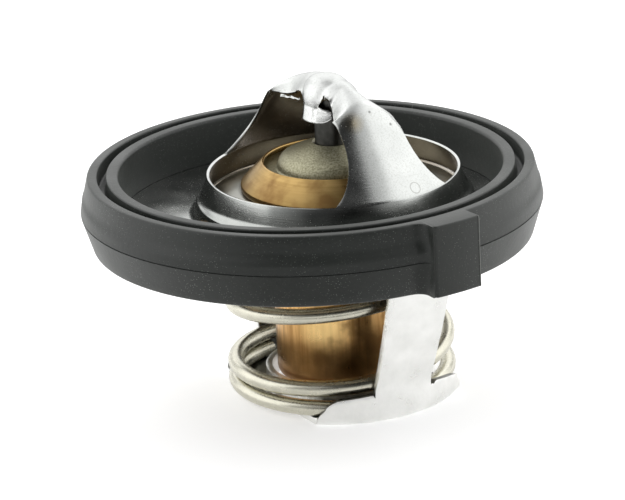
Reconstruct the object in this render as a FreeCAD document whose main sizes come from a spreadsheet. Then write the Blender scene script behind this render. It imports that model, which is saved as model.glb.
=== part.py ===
import FreeCAD, Part
import math
import os
import re

import Sketcher
from FreeCAD import Placement, Rotation, Vector

# Engine thermostat with a rubber-edged flange, a poppet valve and a wax element.
# The part stands on its cage. The origin is the centre of the seal, at the level it stands on.
# +X runs from the seal's centre to the valve's axis, +Z up. Lengths in millimetres, angles in degrees.

SIZES = {
    # Rubber seal round the flange
    "flange_land": 2.95,
    "seal_top_draft": 1.1,
    "seal_foot_draft": 1.4,
    "seal_height": 10.0,
    "seal_drop": 2.7,
    "seal_land_width": 1.35,
    "seal_groove_width": 1.35,
    "seal_groove_depth": 2.2,
    "seal_lip_width": 1.6,
    "parting_band": 0.5,
    "tab_angle": -55.0,
    "tab_width": 7.2,
    "tab_stand": 1.4,
    "tab_fillet": 2.6,
    # Stamped flange, collar and bridge
    "frame_sheet": 0.9,
    "flange_height": 25.2,
    "flange_grip": 2.6,
    "valve_offset": 3.15,
    "arm_angle": -60.0,
    "collar_height": 5.7,
    "rim_radius": 17.5,
    "waist_spread": 0.75,
    "waist_drop": 2.5,
    "step_spread": 2.0,
    "base_spread": 3.0,
    "shoulder_inset": 7.1,
    "shoulder_rise": 9.6,
    "arm_half_width": 4.7,
    "arm_flare": 4.0,
    "hood_gap": 0.4,
    "hood_rise": 13.65,
    "neck_half_width": 3.0,
    "strip_arch": 0.75,
    "flap_drop": 2.4,
    # Cage under the flange
    "cage_sheet": 0.9,
    "foot_gap": 0.3,
    "foot_margin": 0.55,
    "foot_wall": 3.8,
    "foot_slant": 1.3,
    "leg_width": 9.2,
    "leg_gap": 1.65,
    "tenon_width": 6.0,
    "tenon_stand": 0.5,
    "stake_height": 0.6,
    "stake_spread": 0.5,
    "guide_gap": 0.75,
    "guide_collar_height": 3.6,
    # Main spring
    "wire_radius": 1.0,
    "spring_gap": 4.8,
    "closed_pitch": 2.9,
    "open_pitch": 10.5,
    "spring_seat_gap": 0.8,
    # Valve disc
    "disc_sheet": 0.8,
    "seat_lap": 0.25,
    "hub_depth": 2.4,
    "hub_margin": 0.4,
    "seat_depth": 3.6,
    # Wax element
    "cup_radius": 9.0,
    "cup_wall": 1.2,
    "cup_foot_height": 2.2,
    "cup_nose": 1.6,
    "head_flange": 3.9,
    "head_floor": 1.0,
    "head_side": 0.85,
    "crimp_wall": 0.65,
    "crimp_rise": 1.5,
    "crimp_draw": 3.05,
    "gasket_thickness": 1.0,
    "guide_shoulder": 0.9,
    "moat_width": 1.5,
    "dome_side_rise": 1.5,
    "dome_rise": 4.05,
    "dome_rounding": 2.4,
    "pin_radius": 2.35,
    "pin_foot_height": 8.5,
    "pin_nose_radius": 1.5,
    "pin_nose_length": 6.0,
    "running_gap": 0.06,
    "boot_wall": 1.5,
    "washer_width": 2.85,
    "washer_thickness": 0.6,
    # Bleed pin in the flange
    "bleed_margin": 1.6,
    "bleed_angle": 192.8,
    "bleed_shank_radius": 0.75,
    "bleed_gap": 0.2,
    "bleed_head_radius": 1.4,
    "bleed_head_height": 1.1,
    "bleed_bob_radius": 1.35,
    "bleed_play": 1.2,
}

# Sizes that follow from the ones above
FOLLOWS = {
    "collar_base_radius": "rim_radius + base_spread",
    "seal_bore_radius": "valve_offset + collar_base_radius + flange_land",
    "seal_lip_radius": "seal_bore_radius + seal_lip_width",
    "seal_land_radius": "seal_lip_radius + seal_groove_width",
    "seal_top_radius": "seal_land_radius + seal_land_width",
    "seal_radius": "seal_top_radius + seal_top_draft",
    "seal_foot_radius": "seal_radius - seal_foot_draft",
    "flange_radius": "seal_bore_radius + flange_grip",
    "tab_reach": "seal_radius + tab_stand",
    "waist_radius": "rim_radius + waist_spread",
    "step_radius": "rim_radius + step_spread",
    "shoulder_radius": "rim_radius - shoulder_inset",
    "shoulder_half_width": "arm_half_width + 0.1",
    "arm_foot_half_width": "arm_half_width + arm_flare",
    "arm_straight_end": "sqrt(rim_radius ^ 2 - arm_foot_half_width ^ 2) - arm_flare",
    "hood_radius": "pin_radius + hood_gap + frame_sheet",
    "hood_spring_line": "hood_rise - hood_radius",
    "flap_rise": "hood_spring_line - flap_drop",
    "flap_half_length": "hood_radius - frame_sheet / 2",
    "spring_radius": "cup_radius + spring_gap + wire_radius",
    "foot_radius": "spring_radius + wire_radius + foot_gap + cage_sheet",
    "leg_top_radius": "collar_base_radius + leg_gap + cage_sheet / 2",
    "guide_collar_radius": "cup_radius + guide_gap + cage_sheet",
    "foot_half_width": "guide_collar_radius + foot_margin",
    "head_radius": "cup_radius + head_flange",
    "hub_radius": "head_radius + hub_margin",
    "disc_radius": "waist_radius - frame_sheet + seat_lap",
    "crimp_radius": "head_radius - crimp_draw",
    "dome_radius": "crimp_radius - crimp_wall - moat_width",
    "washer_radius": "pin_radius + washer_width",
    "bleed_reach": "collar_base_radius + bleed_margin",
    "bleed_x": "valve_offset + bleed_reach * cos(bleed_angle)",
    "bleed_y": "bleed_reach * sin(bleed_angle)",
}

# Levels above the plane that the part stands on
FLANGE_LOW = "flange_height"
FLANGE_TOP = "(flange_height + frame_sheet)"
RIM = "(flange_height + frame_sheet + collar_height)"
SEAL_LOW = "(flange_height - seal_drop)"
SEAL_TOP = "(flange_height - seal_drop + seal_height)"
SEAL_MID = "(flange_height - seal_drop + seal_height / 2)"
HUB = RIM + " - hub_depth"
SEAT = RIM + " - seat_depth"
HEAD_FLOOR = HUB + " + head_floor"
CRIMP_FOOT = HUB + " + head_side"
CRIMP_TOP = RIM + " + crimp_rise"
MOAT = HEAD_FLOOR + " + gasket_thickness + guide_shoulder"

doc = FreeCAD.newDocument("thermostat")
sheet = doc.addObject("Spreadsheet::Sheet", "Sizes")
for row, (alias, value) in enumerate(SIZES.items(), start=1):
    sheet.set("A%d" % row, alias)
    sheet.set("B%d" % row, str(value))
    sheet.setAlias("B%d" % row, alias)
doc.recompute()


def bound(text):
    """The text of an expression, with each size read from the sheet."""
    def place(word):
        name = word.group(0)
        if name in FOLLOWS:
            return "(" + bound(FOLLOWS[name]) + ")"
        return "Sizes." + name if name in SIZES else name
    return re.sub(r"[a-z]+(?:_[a-z]+)+", place, text)


def size(text):
    """The present value of an expression in sizes."""
    value = sheet.evalExpression(bound(text))
    return getattr(value, "Value", value)


def new_body(name, x="0", y="0", angle=None):
    """A body that stands at x, y and is turned about its own upright axis."""
    body = doc.addObject("PartDesign::Body", name)
    body.Label = name
    if angle:
        body.Placement = Placement(Vector(0, 0, 0), Rotation(Vector(0, 0, 1), size(angle)))
        body.setExpression("Placement.Rotation.Angle", bound(angle))
    body.setExpression("Placement.Base.x", bound(x))
    body.setExpression("Placement.Base.y", bound(y))
    return body


def new_sketch(body, name, plane="XZ_Plane", offset=None, turn=None):
    """A sketch on one of the body's own planes, moved along the plane's normal and turned in it."""
    sketch = body.newObject("Sketcher::SketchObject", name)
    base_plane = [item for item in body.Origin.OriginFeatures if item.Role == plane][0]
    sketch.AttachmentSupport = [(base_plane, "")]
    sketch.MapMode = "FlatFace"
    if turn:
        sketch.AttachmentOffset = Placement(Vector(0, 0, 0), Rotation(Vector(0, 0, 1), size(turn)))
        sketch.setExpression("AttachmentOffset.Rotation.Angle", bound(turn))
    if offset:
        sketch.setExpression("AttachmentOffset.Base.z", bound(offset))
    return sketch


def pin_point(sketch, geometry, point, across, up):
    """Hold a point of the sketch at two bound distances from the sketch's origin."""
    for kind, axis, text in (("DistanceX", -2, across), ("DistanceY", -1, up)):
        if text == "0":
            sketch.addConstraint(Sketcher.Constraint("PointOnObject", geometry, point, axis))
        else:
            number = sketch.addConstraint(
                Sketcher.Constraint(kind, -1, 1, geometry, point, size(text)))
            sketch.setExpression("Constraints[%d]" % number, bound(text))


def arc_between(start, end, radius, side):
    """The short arc from start to end with its centre on the left (1) or right (-1)."""
    chord = end - start
    middle = (start + end) * 0.5
    normal = Vector(-chord.y, chord.x, 0).normalize()
    height = math.sqrt(max(radius ** 2 - (chord.Length / 2) ** 2, 0))
    centre = middle + normal * (height * side)
    first, last = (start, end) if side > 0 else (end, start)
    angles = [math.atan2(p.y - centre.y, p.x - centre.x) for p in (first, last)]
    return Part.ArcOfCircle(Part.Circle(centre, Vector(0, 0, 1), radius), *angles)


def outline(sketch, corners):
    """A closed outline. A corner is (across, up), or (across, up, radius, side) where an arc
    with its centre on the left (1) or right (-1) leads on to the next corner."""
    points = [Vector(size(corner[0]), size(corner[1]), 0) for corner in corners]
    ends = []
    for index, corner in enumerate(corners):
        start, end = points[index], points[(index + 1) % len(points)]
        if len(corner) == 2:
            ends.append((sketch.addGeometry(Part.LineSegment(start, end)), 1, 2))
        else:
            arc = arc_between(start, end, size(corner[2]), corner[3])
            number = sketch.addGeometry(arc)
            ends.append((number, 1, 2) if corner[3] > 0 else (number, 2, 1))
    for index, corner in enumerate(corners):
        before, here = ends[index - 1], ends[index]
        sketch.addConstraint(
            Sketcher.Constraint("Coincident", before[0], before[2], here[0], here[1]))
        pin_point(sketch, here[0], here[1], corner[0], corner[1])
        if len(corner) > 2:
            number = sketch.addConstraint(
                Sketcher.Constraint("Radius", here[0], size(corner[2])))
            sketch.setExpression("Constraints[%d]" % number, bound(corner[2]))


def circle(sketch, radius, across="0", up="0"):
    """A circle of a bound radius round a bound point."""
    centre = Vector(size(across), size(up), 0)
    number = sketch.addGeometry(Part.Circle(centre, Vector(0, 0, 1), size(radius)))
    if across == "0" and up == "0":
        sketch.addConstraint(Sketcher.Constraint("Coincident", number, 3, -1, 1))
    else:
        pin_point(sketch, number, 3, across, up)
    held = sketch.addConstraint(Sketcher.Constraint("Radius", number, size(radius)))
    sketch.setExpression("Constraints[%d]" % held, bound(radius))


def turned(body, name, corners):
    """Turn an outline of (radius, height) corners round the body's upright axis."""
    sketch = new_sketch(body, name + "_section")
    outline(sketch, corners)
    turn = body.newObject("PartDesign::Revolution", name)
    turn.Profile = sketch
    turn.ReferenceAxis = (sketch, ["V_Axis"])
    turn.Angle = 360
    return turn


def padded(body, sketch, name, length, midplane=False):
    """Give a sketch a bound length along its normal."""
    pad = body.newObject("PartDesign::Pad", name)
    pad.Profile = sketch
    pad.Midplane = midplane
    pad.setExpression("Length", bound(length))
    return pad


def cut_through(body, sketch, name):
    """Cut a sketch through the whole body, both ways."""
    doc.recompute()
    volume = body.Shape.Volume
    pocket = body.newObject("PartDesign::Pocket", name)
    pocket.Profile = sketch
    pocket.Midplane = True
    pocket.Type = "ThroughAll"
    doc.recompute()
    if body.Shape.Volume >= volume:
        raise RuntimeError(name + " cuts nothing")
    return pocket


def seal_ring():
    """Moulded rubber channel that grips the flange's edge, with one locating tab."""
    body = new_body("seal_ring")
    drop = "0.25"
    turned(body, "channel", [
        ("seal_foot_radius", SEAL_LOW),
        ("seal_radius", SEAL_MID + " - parting_band / 2"),
        ("seal_radius", SEAL_MID + " + parting_band / 2"),
        ("seal_top_radius", SEAL_TOP + " - " + drop),
        ("seal_top_radius - " + drop, SEAL_TOP),
        ("seal_land_radius", SEAL_TOP),
        ("seal_land_radius", SEAL_TOP + " - seal_groove_depth"),
        ("seal_lip_radius", SEAL_TOP + " - seal_groove_depth"),
        ("seal_lip_radius", SEAL_TOP),
        ("seal_bore_radius + 2 * " + drop, SEAL_TOP),
        ("seal_bore_radius", SEAL_TOP + " - 2 * " + drop),
        ("seal_bore_radius", FLANGE_TOP),
        ("flange_radius", FLANGE_TOP),
        ("flange_radius", FLANGE_LOW),
        ("seal_bore_radius + " + drop, FLANGE_LOW),
        ("seal_bore_radius + 2 * " + drop, SEAL_LOW),
    ])
    tab = new_sketch(body, "tab_plan", "XY_Plane", offset=SEAL_LOW, turn="tab_angle")
    root = "(seal_land_radius + 0.3)"
    outline(tab, [
        (root, "tab_width / 2"),
        (root, "-tab_width / 2 - 0.9 * tab_fillet"),
        ("seal_radius - 0.7", "-tab_width / 2 - 0.9 * tab_fillet", "tab_fillet", -1),
        ("tab_reach - 0.2", "-tab_width / 2"),
        ("tab_reach", "-tab_width / 2 + 0.2"),
        ("tab_reach", "tab_width / 2"),
    ])
    padded(body, tab, "tab", "seal_height")
    return body


def flange_and_collar():
    """Flange disc, drawn collar and the holes in them."""
    body = new_body("flange_and_collar", x="valve_offset")
    plate = new_sketch(body, "plate_plan", "XY_Plane", offset=FLANGE_LOW)
    circle(plate, "flange_radius", "-valve_offset", "0")
    circle(plate, "collar_base_radius")
    padded(body, plate, "plate", "frame_sheet")
    turned(body, "collar", [
        ("rim_radius - frame_sheet", RIM),
        ("waist_radius - frame_sheet", RIM + " - waist_drop - 0.25"),
        ("step_radius - 1.4 * frame_sheet", FLANGE_TOP + " + 1.6", "2 * frame_sheet", 1),
        ("step_radius - frame_sheet", FLANGE_TOP + " + 0.4"),
        ("collar_base_radius - frame_sheet", FLANGE_LOW),
        ("collar_base_radius + 0.8", FLANGE_LOW),
        ("collar_base_radius + 0.8", FLANGE_TOP),
        ("collar_base_radius", FLANGE_TOP, "frame_sheet", -1),
        ("step_radius + 0.25", FLANGE_TOP + " + 0.8"),
        ("step_radius", FLANGE_TOP + " + 1.5", "frame_sheet", 1),
        ("step_radius - 0.5 * frame_sheet", FLANGE_TOP + " + 2.25", "2 * frame_sheet", -1),
        ("waist_radius", RIM + " - waist_drop"),
        ("rim_radius", RIM),
    ])
    holes = new_sketch(body, "slots_plan", "XY_Plane", turn="arm_angle")
    for way in ("", "-"):
        near = way + "(leg_top_radius - cage_sheet / 2)"
        far = way + "(leg_top_radius + cage_sheet / 2)"
        outline(holes, [(near, "-tenon_width / 2"), (far, "-tenon_width / 2"),
                        (far, "tenon_width / 2"), (near, "tenon_width / 2")])
    cut_through(body, holes, "slots")
    bleed = new_sketch(body, "bleed_plan", "XY_Plane")
    circle(bleed, "bleed_shank_radius + bleed_gap", "bleed_x - valve_offset", "bleed_y")
    cut_through(body, bleed, "bleed_hole")
    return body


def bridge_arms():
    """Two arms of a cone that rises from the collar's rim to the bridge's shoulders."""
    body = new_body("bridge_arms", x="valve_offset", angle="arm_angle")
    top = RIM + " + shoulder_rise"
    inner = "rim_radius - frame_sheet"
    turned(body, "cone", [
        ("rim_radius", RIM + " - 0.4"),
        ("rim_radius", RIM),
        ("shoulder_radius + 0.45", top + " - 0.6", "1.8", 1),
        ("shoulder_radius - 0.9", top + " + 0.35"),
        ("shoulder_radius - 1.9", top + " + 0.7"),
        ("shoulder_radius - 1.9", top + " + 0.7 - frame_sheet"),
        ("shoulder_radius - 1.1", top + " - 0.6"),
        ("shoulder_radius - 0.45", top + " - 1.2"),
        (inner, RIM + " - 0.05"),
        (inner, RIM + " - 0.4"),
    ])
    end = "(arm_straight_end + arm_flare)"
    wide = "arm_foot_half_width"
    past = "(rim_radius + 2)"
    plan = new_sketch(body, "arms_plan", "XY_Plane")
    circle(plan, "2 * rim_radius")
    outline(plan, [
        ("arm_straight_end", "arm_half_width", "arm_flare", -1),
        (end, wide), (past, wide), (past, "-" + wide),
        (end, "-" + wide, "arm_flare", -1),
        ("arm_straight_end", "-arm_half_width"),
        ("-arm_straight_end", "-arm_half_width", "arm_flare", -1),
        ("-" + end, "-" + wide), ("-" + past, "-" + wide), ("-" + past, wide),
        ("-" + end, wide, "arm_flare", -1),
        ("-arm_straight_end", "arm_half_width"),
    ])
    cut_through(body, plan, "arms_outline")
    return body


def hood_flaps():
    """Two curved flaps that hang from the hood on both sides of the piston pin."""
    body = new_body("hood_flaps", x="valve_offset", angle="arm_angle")
    low = RIM + " + flap_rise"
    high = RIM + " + hood_spring_line + 0.1"
    turned(body, "thimble", [
        ("hood_radius - frame_sheet", low), ("hood_radius", low),
        ("hood_radius", high), ("hood_radius - frame_sheet", high),
    ])
    sides = new_sketch(body, "flap_sides_plan", "XY_Plane")
    for way in ("", "-"):
        near = way + "flap_half_length"
        far = way + "2 * hood_radius"
        outline(sides, [(near, "-2 * hood_radius"), (far, "-2 * hood_radius"),
                        (far, "2 * hood_radius"), (near, "2 * hood_radius")])
    cut_through(body, sides, "flap_sides")
    return body


def blend(share):
    """A smooth step from 0 to 1."""
    share = min(max(share, 0.0), 1.0)
    return share * share * (3 - 2 * share)


def roof_section(along, half_width, foot, ridge, flatness):
    """A cross-section of the sheet roof: an arch of one sheet's thickness."""
    inset = size("frame_sheet") * (1 - flatness)
    fall = size("frame_sheet") * flatness
    outer = [Vector(along, -half_width, foot), Vector(along, 0, ridge),
             Vector(along, half_width, foot)]
    inner = [Vector(along, -half_width + inset, foot - fall),
             Vector(along, 0, ridge - size("frame_sheet")),
             Vector(along, half_width - inset, foot - fall)]
    return Part.Wire([
        Part.Arc(*outer).toShape(),
        Part.LineSegment(outer[2], inner[2]).toShape(),
        Part.Arc(*reversed(inner)).toShape(),
        Part.LineSegment(inner[0], outer[0]).toShape(),
    ])


def bridge_roof():
    """Sheet roof that rises from both shoulders and is drawn to a hood over the pin."""
    reach = math.sqrt(size("shoulder_radius") ** 2 - size("shoulder_half_width") ** 2)
    peak = size(RIM + " + hood_rise")
    shoulder = size(RIM + " + shoulder_rise + 0.15")
    hood = size("hood_radius")
    neck = size("neck_half_width")
    hood_depth = size("hood_rise - hood_spring_line")
    strip_arch = size("strip_arch")
    rounding = 0.45 * hood
    stations_each_side = 6

    def section(along):
        """The section at a distance from the pin's axis."""
        far = abs(along)
        run = math.hypot(far, rounding) - rounding
        ridge = peak - (peak - shoulder) * run / (math.hypot(reach, rounding) - rounding)
        hooded = 1 - blend((far - 0.25 * hood) / hood)
        outward = blend((far - 0.5 * reach) / (0.5 * reach))
        half = neck + (hood - neck) * hooded + (size("shoulder_half_width") - neck) * outward
        arch = strip_arch + (hood_depth - strip_arch) * hooded
        return roof_section(along, half, ridge - arch, ridge, 1 - hooded)

    steps = range(-stations_each_side, stations_each_side + 1)
    sections = [section(reach * step / stations_each_side) for step in steps]
    roof = doc.addObject("Part::Feature", "bridge_roof")
    roof.Shape = Part.makeLoft(sections, True, False)
    turn = Rotation(Vector(0, 0, 1), size("arm_angle"))
    roof.Placement = Placement(Vector(size("valve_offset"), 0, 0), turn)
    return roof


def upper_frame():
    """The stamping: flange, collar, arms, roof and hood in one piece of sheet."""
    pieces = [flange_and_collar(), bridge_arms(), hood_flaps(), bridge_roof()]
    doc.recompute()
    fuse = doc.addObject("Part::MultiFuse", "upper_frame")
    fuse.Label = "upper_frame"
    fuse.Shapes = pieces
    return fuse


def lower_cage():
    """Strap with two upturned feet, two legs staked through the flange and a guide collar."""
    body = new_body("lower_cage", x="valve_offset", angle="arm_angle")
    inner = "(foot_radius - cage_sheet)"
    corner = "sqrt(foot_radius ^ 2 - foot_half_width ^ 2)"
    inner_corner = "sqrt(" + inner + " ^ 2 - foot_half_width ^ 2)"
    hole = "(guide_collar_radius - cage_sheet)"
    bar = new_sketch(body, "bar_plan", "XY_Plane")
    outline(bar, [
        (corner, "-foot_half_width", "foot_radius", 1), (corner, "foot_half_width"),
        ("-" + corner, "foot_half_width", "foot_radius", 1), ("-" + corner, "-foot_half_width"),
    ])
    circle(bar, hole)
    padded(body, bar, "bar", "cage_sheet")
    walls = new_sketch(body, "walls_plan", "XY_Plane")
    for way, side in (("", 1), ("-", -1)):
        outline(walls, [
            (way + corner, "-foot_half_width", "foot_radius", side),
            (way + corner, "foot_half_width"),
            (way + inner_corner, "foot_half_width", inner, -side),
            (way + inner_corner, "-foot_half_width"),
        ])
    padded(body, walls, "walls", "foot_wall")
    slant = new_sketch(body, "slant_side", "YZ_Plane")
    for way in ("", "-"):
        outline(slant, [
            (way + "(foot_half_width + 0.1)", "cage_sheet"),
            (way + "(foot_half_width + 0.1)", "foot_wall + 1"),
            (way + "(foot_half_width - foot_slant)", "foot_wall + 1"),
            (way + "(foot_half_width - foot_slant)", "foot_wall"),
        ])
    cut_through(body, slant, "slanted_ends")
    turned(body, "guide_collar", [
        (hole, "0"), ("guide_collar_radius + cage_sheet", "0"),
        ("guide_collar_radius + cage_sheet", "cage_sheet", "cage_sheet", -1),
        ("guide_collar_radius", "2 * cage_sheet"),
        ("guide_collar_radius", "guide_collar_height"), (hole, "guide_collar_height"),
    ])
    for number, way in enumerate(("", "-"), start=1):
        leg = new_sketch(body, "leg_side_%d" % number, "XZ_Plane")
        bend = "(foot_wall + 0.6)"
        outline(leg, [
            (way + "foot_radius", "foot_wall - 2"),
            (way + "foot_radius", bend),
            (way + "(leg_top_radius + cage_sheet / 2)", FLANGE_LOW),
            (way + "(leg_top_radius - cage_sheet / 2)", FLANGE_LOW),
            (way + inner, bend),
            (way + inner, "foot_wall - 2"),
        ])
        padded(body, leg, "leg_%d" % number, "leg_width", midplane=True)
        tenon = new_sketch(body, "tenon_plan_%d" % number, "XY_Plane", offset=FLANGE_LOW)
        near = way + "(leg_top_radius - cage_sheet / 2)"
        far = way + "(leg_top_radius + cage_sheet / 2)"
        outline(tenon, [(near, "-tenon_width / 2"), (far, "-tenon_width / 2"),
                        (far, "tenon_width / 2"), (near, "tenon_width / 2")])
        padded(body, tenon, "tenon_%d" % number, "frame_sheet + tenon_stand")
        stake = new_sketch(body, "stake_side_%d" % number, "XZ_Plane")
        outline(stake, [
            (way + "(leg_top_radius - cage_sheet / 2)", FLANGE_TOP),
            (way + "(leg_top_radius - cage_sheet / 2 - stake_spread)",
             FLANGE_TOP + " + stake_height"),
            (way + "(leg_top_radius + cage_sheet / 2 + stake_spread)",
             FLANGE_TOP + " + stake_height"),
            (way + "(leg_top_radius + cage_sheet / 2)", FLANGE_TOP),
        ])
        padded(body, stake, "stake_%d" % number, "tenon_width", midplane=True)
    return body


def main_spring():
    """Coil spring with a flat coil at each end and open coils between them."""
    wire = size("wire_radius")
    mean = size("spring_radius")
    low = size("cage_sheet") + wire
    high = size(HUB) - size("disc_sheet") - wire - size("spring_seat_gap")
    closed, open_pitch = size("closed_pitch"), size("open_pitch")
    steps_per_turn = 16
    first_turn = 0.72
    end_turns = 1.15
    ramp = 0.35

    def pitch(turn, turns):
        """Rise for each turn: small over the end coils, full over the open ones."""
        from_end = min(turn, turns - turn)
        share = min(max((from_end - end_turns) / ramp + 0.5, 0.0), 1.0)
        share = share * share * (3 - 2 * share)
        return closed + (open_pitch - closed) * share

    active = (high - low - 2 * end_turns * closed) / open_pitch
    turns = 2 * end_turns + active
    count = int(round(turns * steps_per_turn))
    step = turns / count
    heights = [0.0]
    for number in range(count):
        heights.append(heights[-1] + pitch((number + 0.5) * step, turns) * step)
    scale = (high - low) / heights[-1]
    start = math.radians(-90 + 360 * first_turn)
    points = []
    for number, height in enumerate(heights):
        angle = start + 2 * math.pi * number * step
        points.append(Vector(mean * math.cos(angle), mean * math.sin(angle), low + height * scale))
    path = Part.BSplineCurve()
    path.interpolate(points)
    spine = Part.Wire([path.toShape()])
    profile = Part.Wire([Part.Circle(points[0], path.tangent(0)[0], wire).toShape()])
    spring = doc.addObject("Part::Feature", "main_spring")
    spring.Label = "main_spring"
    spring.Shape = spine.makePipeShell([profile], True, False)
    spring.Placement = Placement(Vector(size("valve_offset"), 0, 0), Rotation())
    return spring


def valve_disc():
    """Pressed steel poppet: flat hub under the element's head and a shallow cone to the seat."""
    body = new_body("valve_disc", x="valve_offset")
    turned(body, "disc", [
        ("cup_radius", HUB + " - disc_sheet"),
        ("hub_radius", HUB + " - disc_sheet"),
        ("disc_radius", SEAT + " - disc_sheet"),
        ("disc_radius", SEAT),
        ("hub_radius", HUB),
        ("cup_radius", HUB),
    ])
    return body


def crimp_inside(level):
    """Inner radius of the crimped cone at a level, as an expression."""
    fall = "(head_radius - crimp_radius) / ((" + CRIMP_TOP + ") - (" + CRIMP_FOOT + "))"
    return "(head_radius - crimp_wall - ((" + level + ") - (" + CRIMP_FOOT + ")) * " + fall + ")"


def wax_cup():
    """Drawn brass cup with a wide head whose wall is crimped inward as a cone."""
    body = new_body("wax_cup", x="valve_offset")
    inside = "(cup_radius - cup_wall)"
    turned(body, "cup", [
        ("0", "cup_foot_height"),
        ("cup_radius - cup_nose", "cup_foot_height", "cup_nose", 1),
        ("cup_radius", "cup_foot_height + cup_nose"),
        ("cup_radius", HUB),
        ("head_radius", HUB),
        ("head_radius", CRIMP_FOOT),
        ("crimp_radius", CRIMP_TOP),
        ("crimp_radius - crimp_wall", CRIMP_TOP),
        (crimp_inside(HEAD_FLOOR), HEAD_FLOOR),
        (inside, HEAD_FLOOR),
        (inside, "cup_foot_height + cup_wall"),
        ("0", "cup_foot_height + cup_wall"),
    ])
    return body


def rubber_boot():
    """Rubber sleeve round the pin, closed at its foot, with a gasket flange at its top."""
    body = new_body("rubber_boot", x="valve_offset")
    bore = "(pin_radius + running_gap)"
    nose = "(pin_nose_radius + running_gap)"
    top = HEAD_FLOOR + " + gasket_thickness"
    turned(body, "boot", [
        ("0", "pin_foot_height - boot_wall"),
        (nose + " + boot_wall", "pin_foot_height - boot_wall"),
        (bore + " + boot_wall", "pin_foot_height + pin_nose_length"),
        (bore + " + boot_wall", HEAD_FLOOR),
        (crimp_inside(HEAD_FLOOR), HEAD_FLOOR),
        (crimp_inside(top), top),
        (bore, top),
        (bore, "pin_foot_height + pin_nose_length"),
        (nose, "pin_foot_height - running_gap"),
        ("0", "pin_foot_height - running_gap"),
    ])
    return body


def wax_charge():
    """Wax that fills the cup round the boot."""
    body = new_body("wax_charge", x="valve_offset")
    inside = "(cup_radius - cup_wall)"
    bore = "(pin_radius + running_gap + boot_wall)"
    turned(body, "wax", [
        ("0", "cup_foot_height + cup_wall"),
        (inside, "cup_foot_height + cup_wall"),
        (inside, HEAD_FLOOR),
        (bore, HEAD_FLOOR),
        (bore, "pin_foot_height + pin_nose_length"),
        ("pin_nose_radius + running_gap + boot_wall", "pin_foot_height - boot_wall"),
        ("0", "pin_foot_height - boot_wall"),
    ])
    return body


def backup_washer():
    """Washer that keeps the boot from being squeezed out along the pin."""
    body = new_body("backup_washer", x="valve_offset")
    low = HEAD_FLOOR + " + gasket_thickness"
    turned(body, "washer", [
        ("pin_radius + running_gap", low),
        ("washer_radius", low),
        ("washer_radius", low + " + washer_thickness"),
        ("pin_radius + running_gap", low + " + washer_thickness"),
    ])
    return body


def rod_guide():
    """Domed guide for the pin, held in the head by the crimp."""
    body = new_body("rod_guide", x="valve_offset")
    low = HEAD_FLOOR + " + gasket_thickness"
    bore = "(pin_radius + running_gap)"
    side_top = RIM + " + dome_side_rise"
    peak = RIM + " + dome_rise"
    turned(body, "guide", [
        (bore, low + " + washer_thickness"),
        ("washer_radius", low + " + washer_thickness"),
        ("washer_radius", low),
        (crimp_inside(low), low),
        (crimp_inside(MOAT), MOAT),
        ("dome_radius", MOAT),
        ("dome_radius", side_top, "dome_rounding", 1),
        ("dome_radius - 0.42 * dome_rounding", side_top + " + 0.62 * dome_rounding"),
        (bore + " + 0.3", peak),
        (bore, peak),
    ])
    return body


def piston_pin():
    """Steel pin with a tapered foot in the boot and a round head in the hood."""
    body = new_body("piston_pin", x="valve_offset")
    head = RIM + " + hood_rise - frame_sheet - 0.1"
    turned(body, "pin", [
        ("0", "pin_foot_height"),
        ("pin_nose_radius", "pin_foot_height"),
        ("pin_radius", "pin_foot_height + pin_nose_length"),
        ("pin_radius", head + " - pin_radius", "pin_radius", 1),
        ("0", head),
    ])
    return body


def bleed_pin():
    """Loose brass pin that rattles in the flange's bleed hole."""
    body = new_body("bleed_pin", x="bleed_x", y="bleed_y")
    bob_top = FLANGE_LOW + " - bleed_play"
    bob_side = bob_top + " - bleed_bob_radius"
    dome = "0.7 * bleed_head_height"
    ball = "((bleed_head_radius ^ 2 + (" + dome + ") ^ 2) / (2 * " + dome + "))"
    turned(body, "bleed", [
        ("0", bob_side + " - bleed_bob_radius", "bleed_bob_radius", 1),
        ("bleed_bob_radius", bob_side),
        ("bleed_bob_radius", bob_top + " - 0.4"),
        ("bleed_shank_radius", bob_top),
        ("bleed_shank_radius", FLANGE_TOP),
        ("bleed_head_radius", FLANGE_TOP),
        ("bleed_head_radius", FLANGE_TOP + " + bleed_head_height - " + dome, ball, 1),
        ("0", FLANGE_TOP + " + bleed_head_height"),
    ])
    return body


pieces = [
    seal_ring(), upper_frame(), lower_cage(), main_spring(), valve_disc(), wax_cup(),
    wax_charge(), rubber_boot(), backup_washer(), rod_guide(), piston_pin(), bleed_pin(),
]
doc.recompute()

for item in doc.Objects:
    if "Invalid" in item.State or "Error" in item.State:
        raise RuntimeError("%s did not build: %s" % (item.Name, item.State))

for piece in pieces:
    shape = piece.Shape
    if shape.isNull() or not shape.isValid() or len(shape.Solids) != 1:
        raise RuntimeError("%s is not one valid solid" % piece.Label)

os.makedirs("parts", exist_ok=True)
for piece in pieces:
    box = piece.Shape.BoundBox
    print("%-14s %9.1f mm3  z %.2f to %.2f" % (piece.Label, piece.Shape.Volume, box.ZMin, box.ZMax))
    piece.Shape.exportStep("parts/%s.step" % piece.Label)
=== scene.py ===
# %% [markdown]
# # An engine thermostat, dressed for the studio
# The model that comes in is plain and exact: every piece has its size, place and movement.
# This lesson gives each visible piece its rounded edges, its drawn and bent sheet and its finish,
# and then lights and photographs it. Lengths are written in millimetres and turned into metres
# where a mesh is made.

# %% Load the exact model
import math
import bpy
import bmesh
from mathutils import Matrix, Vector


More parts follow.
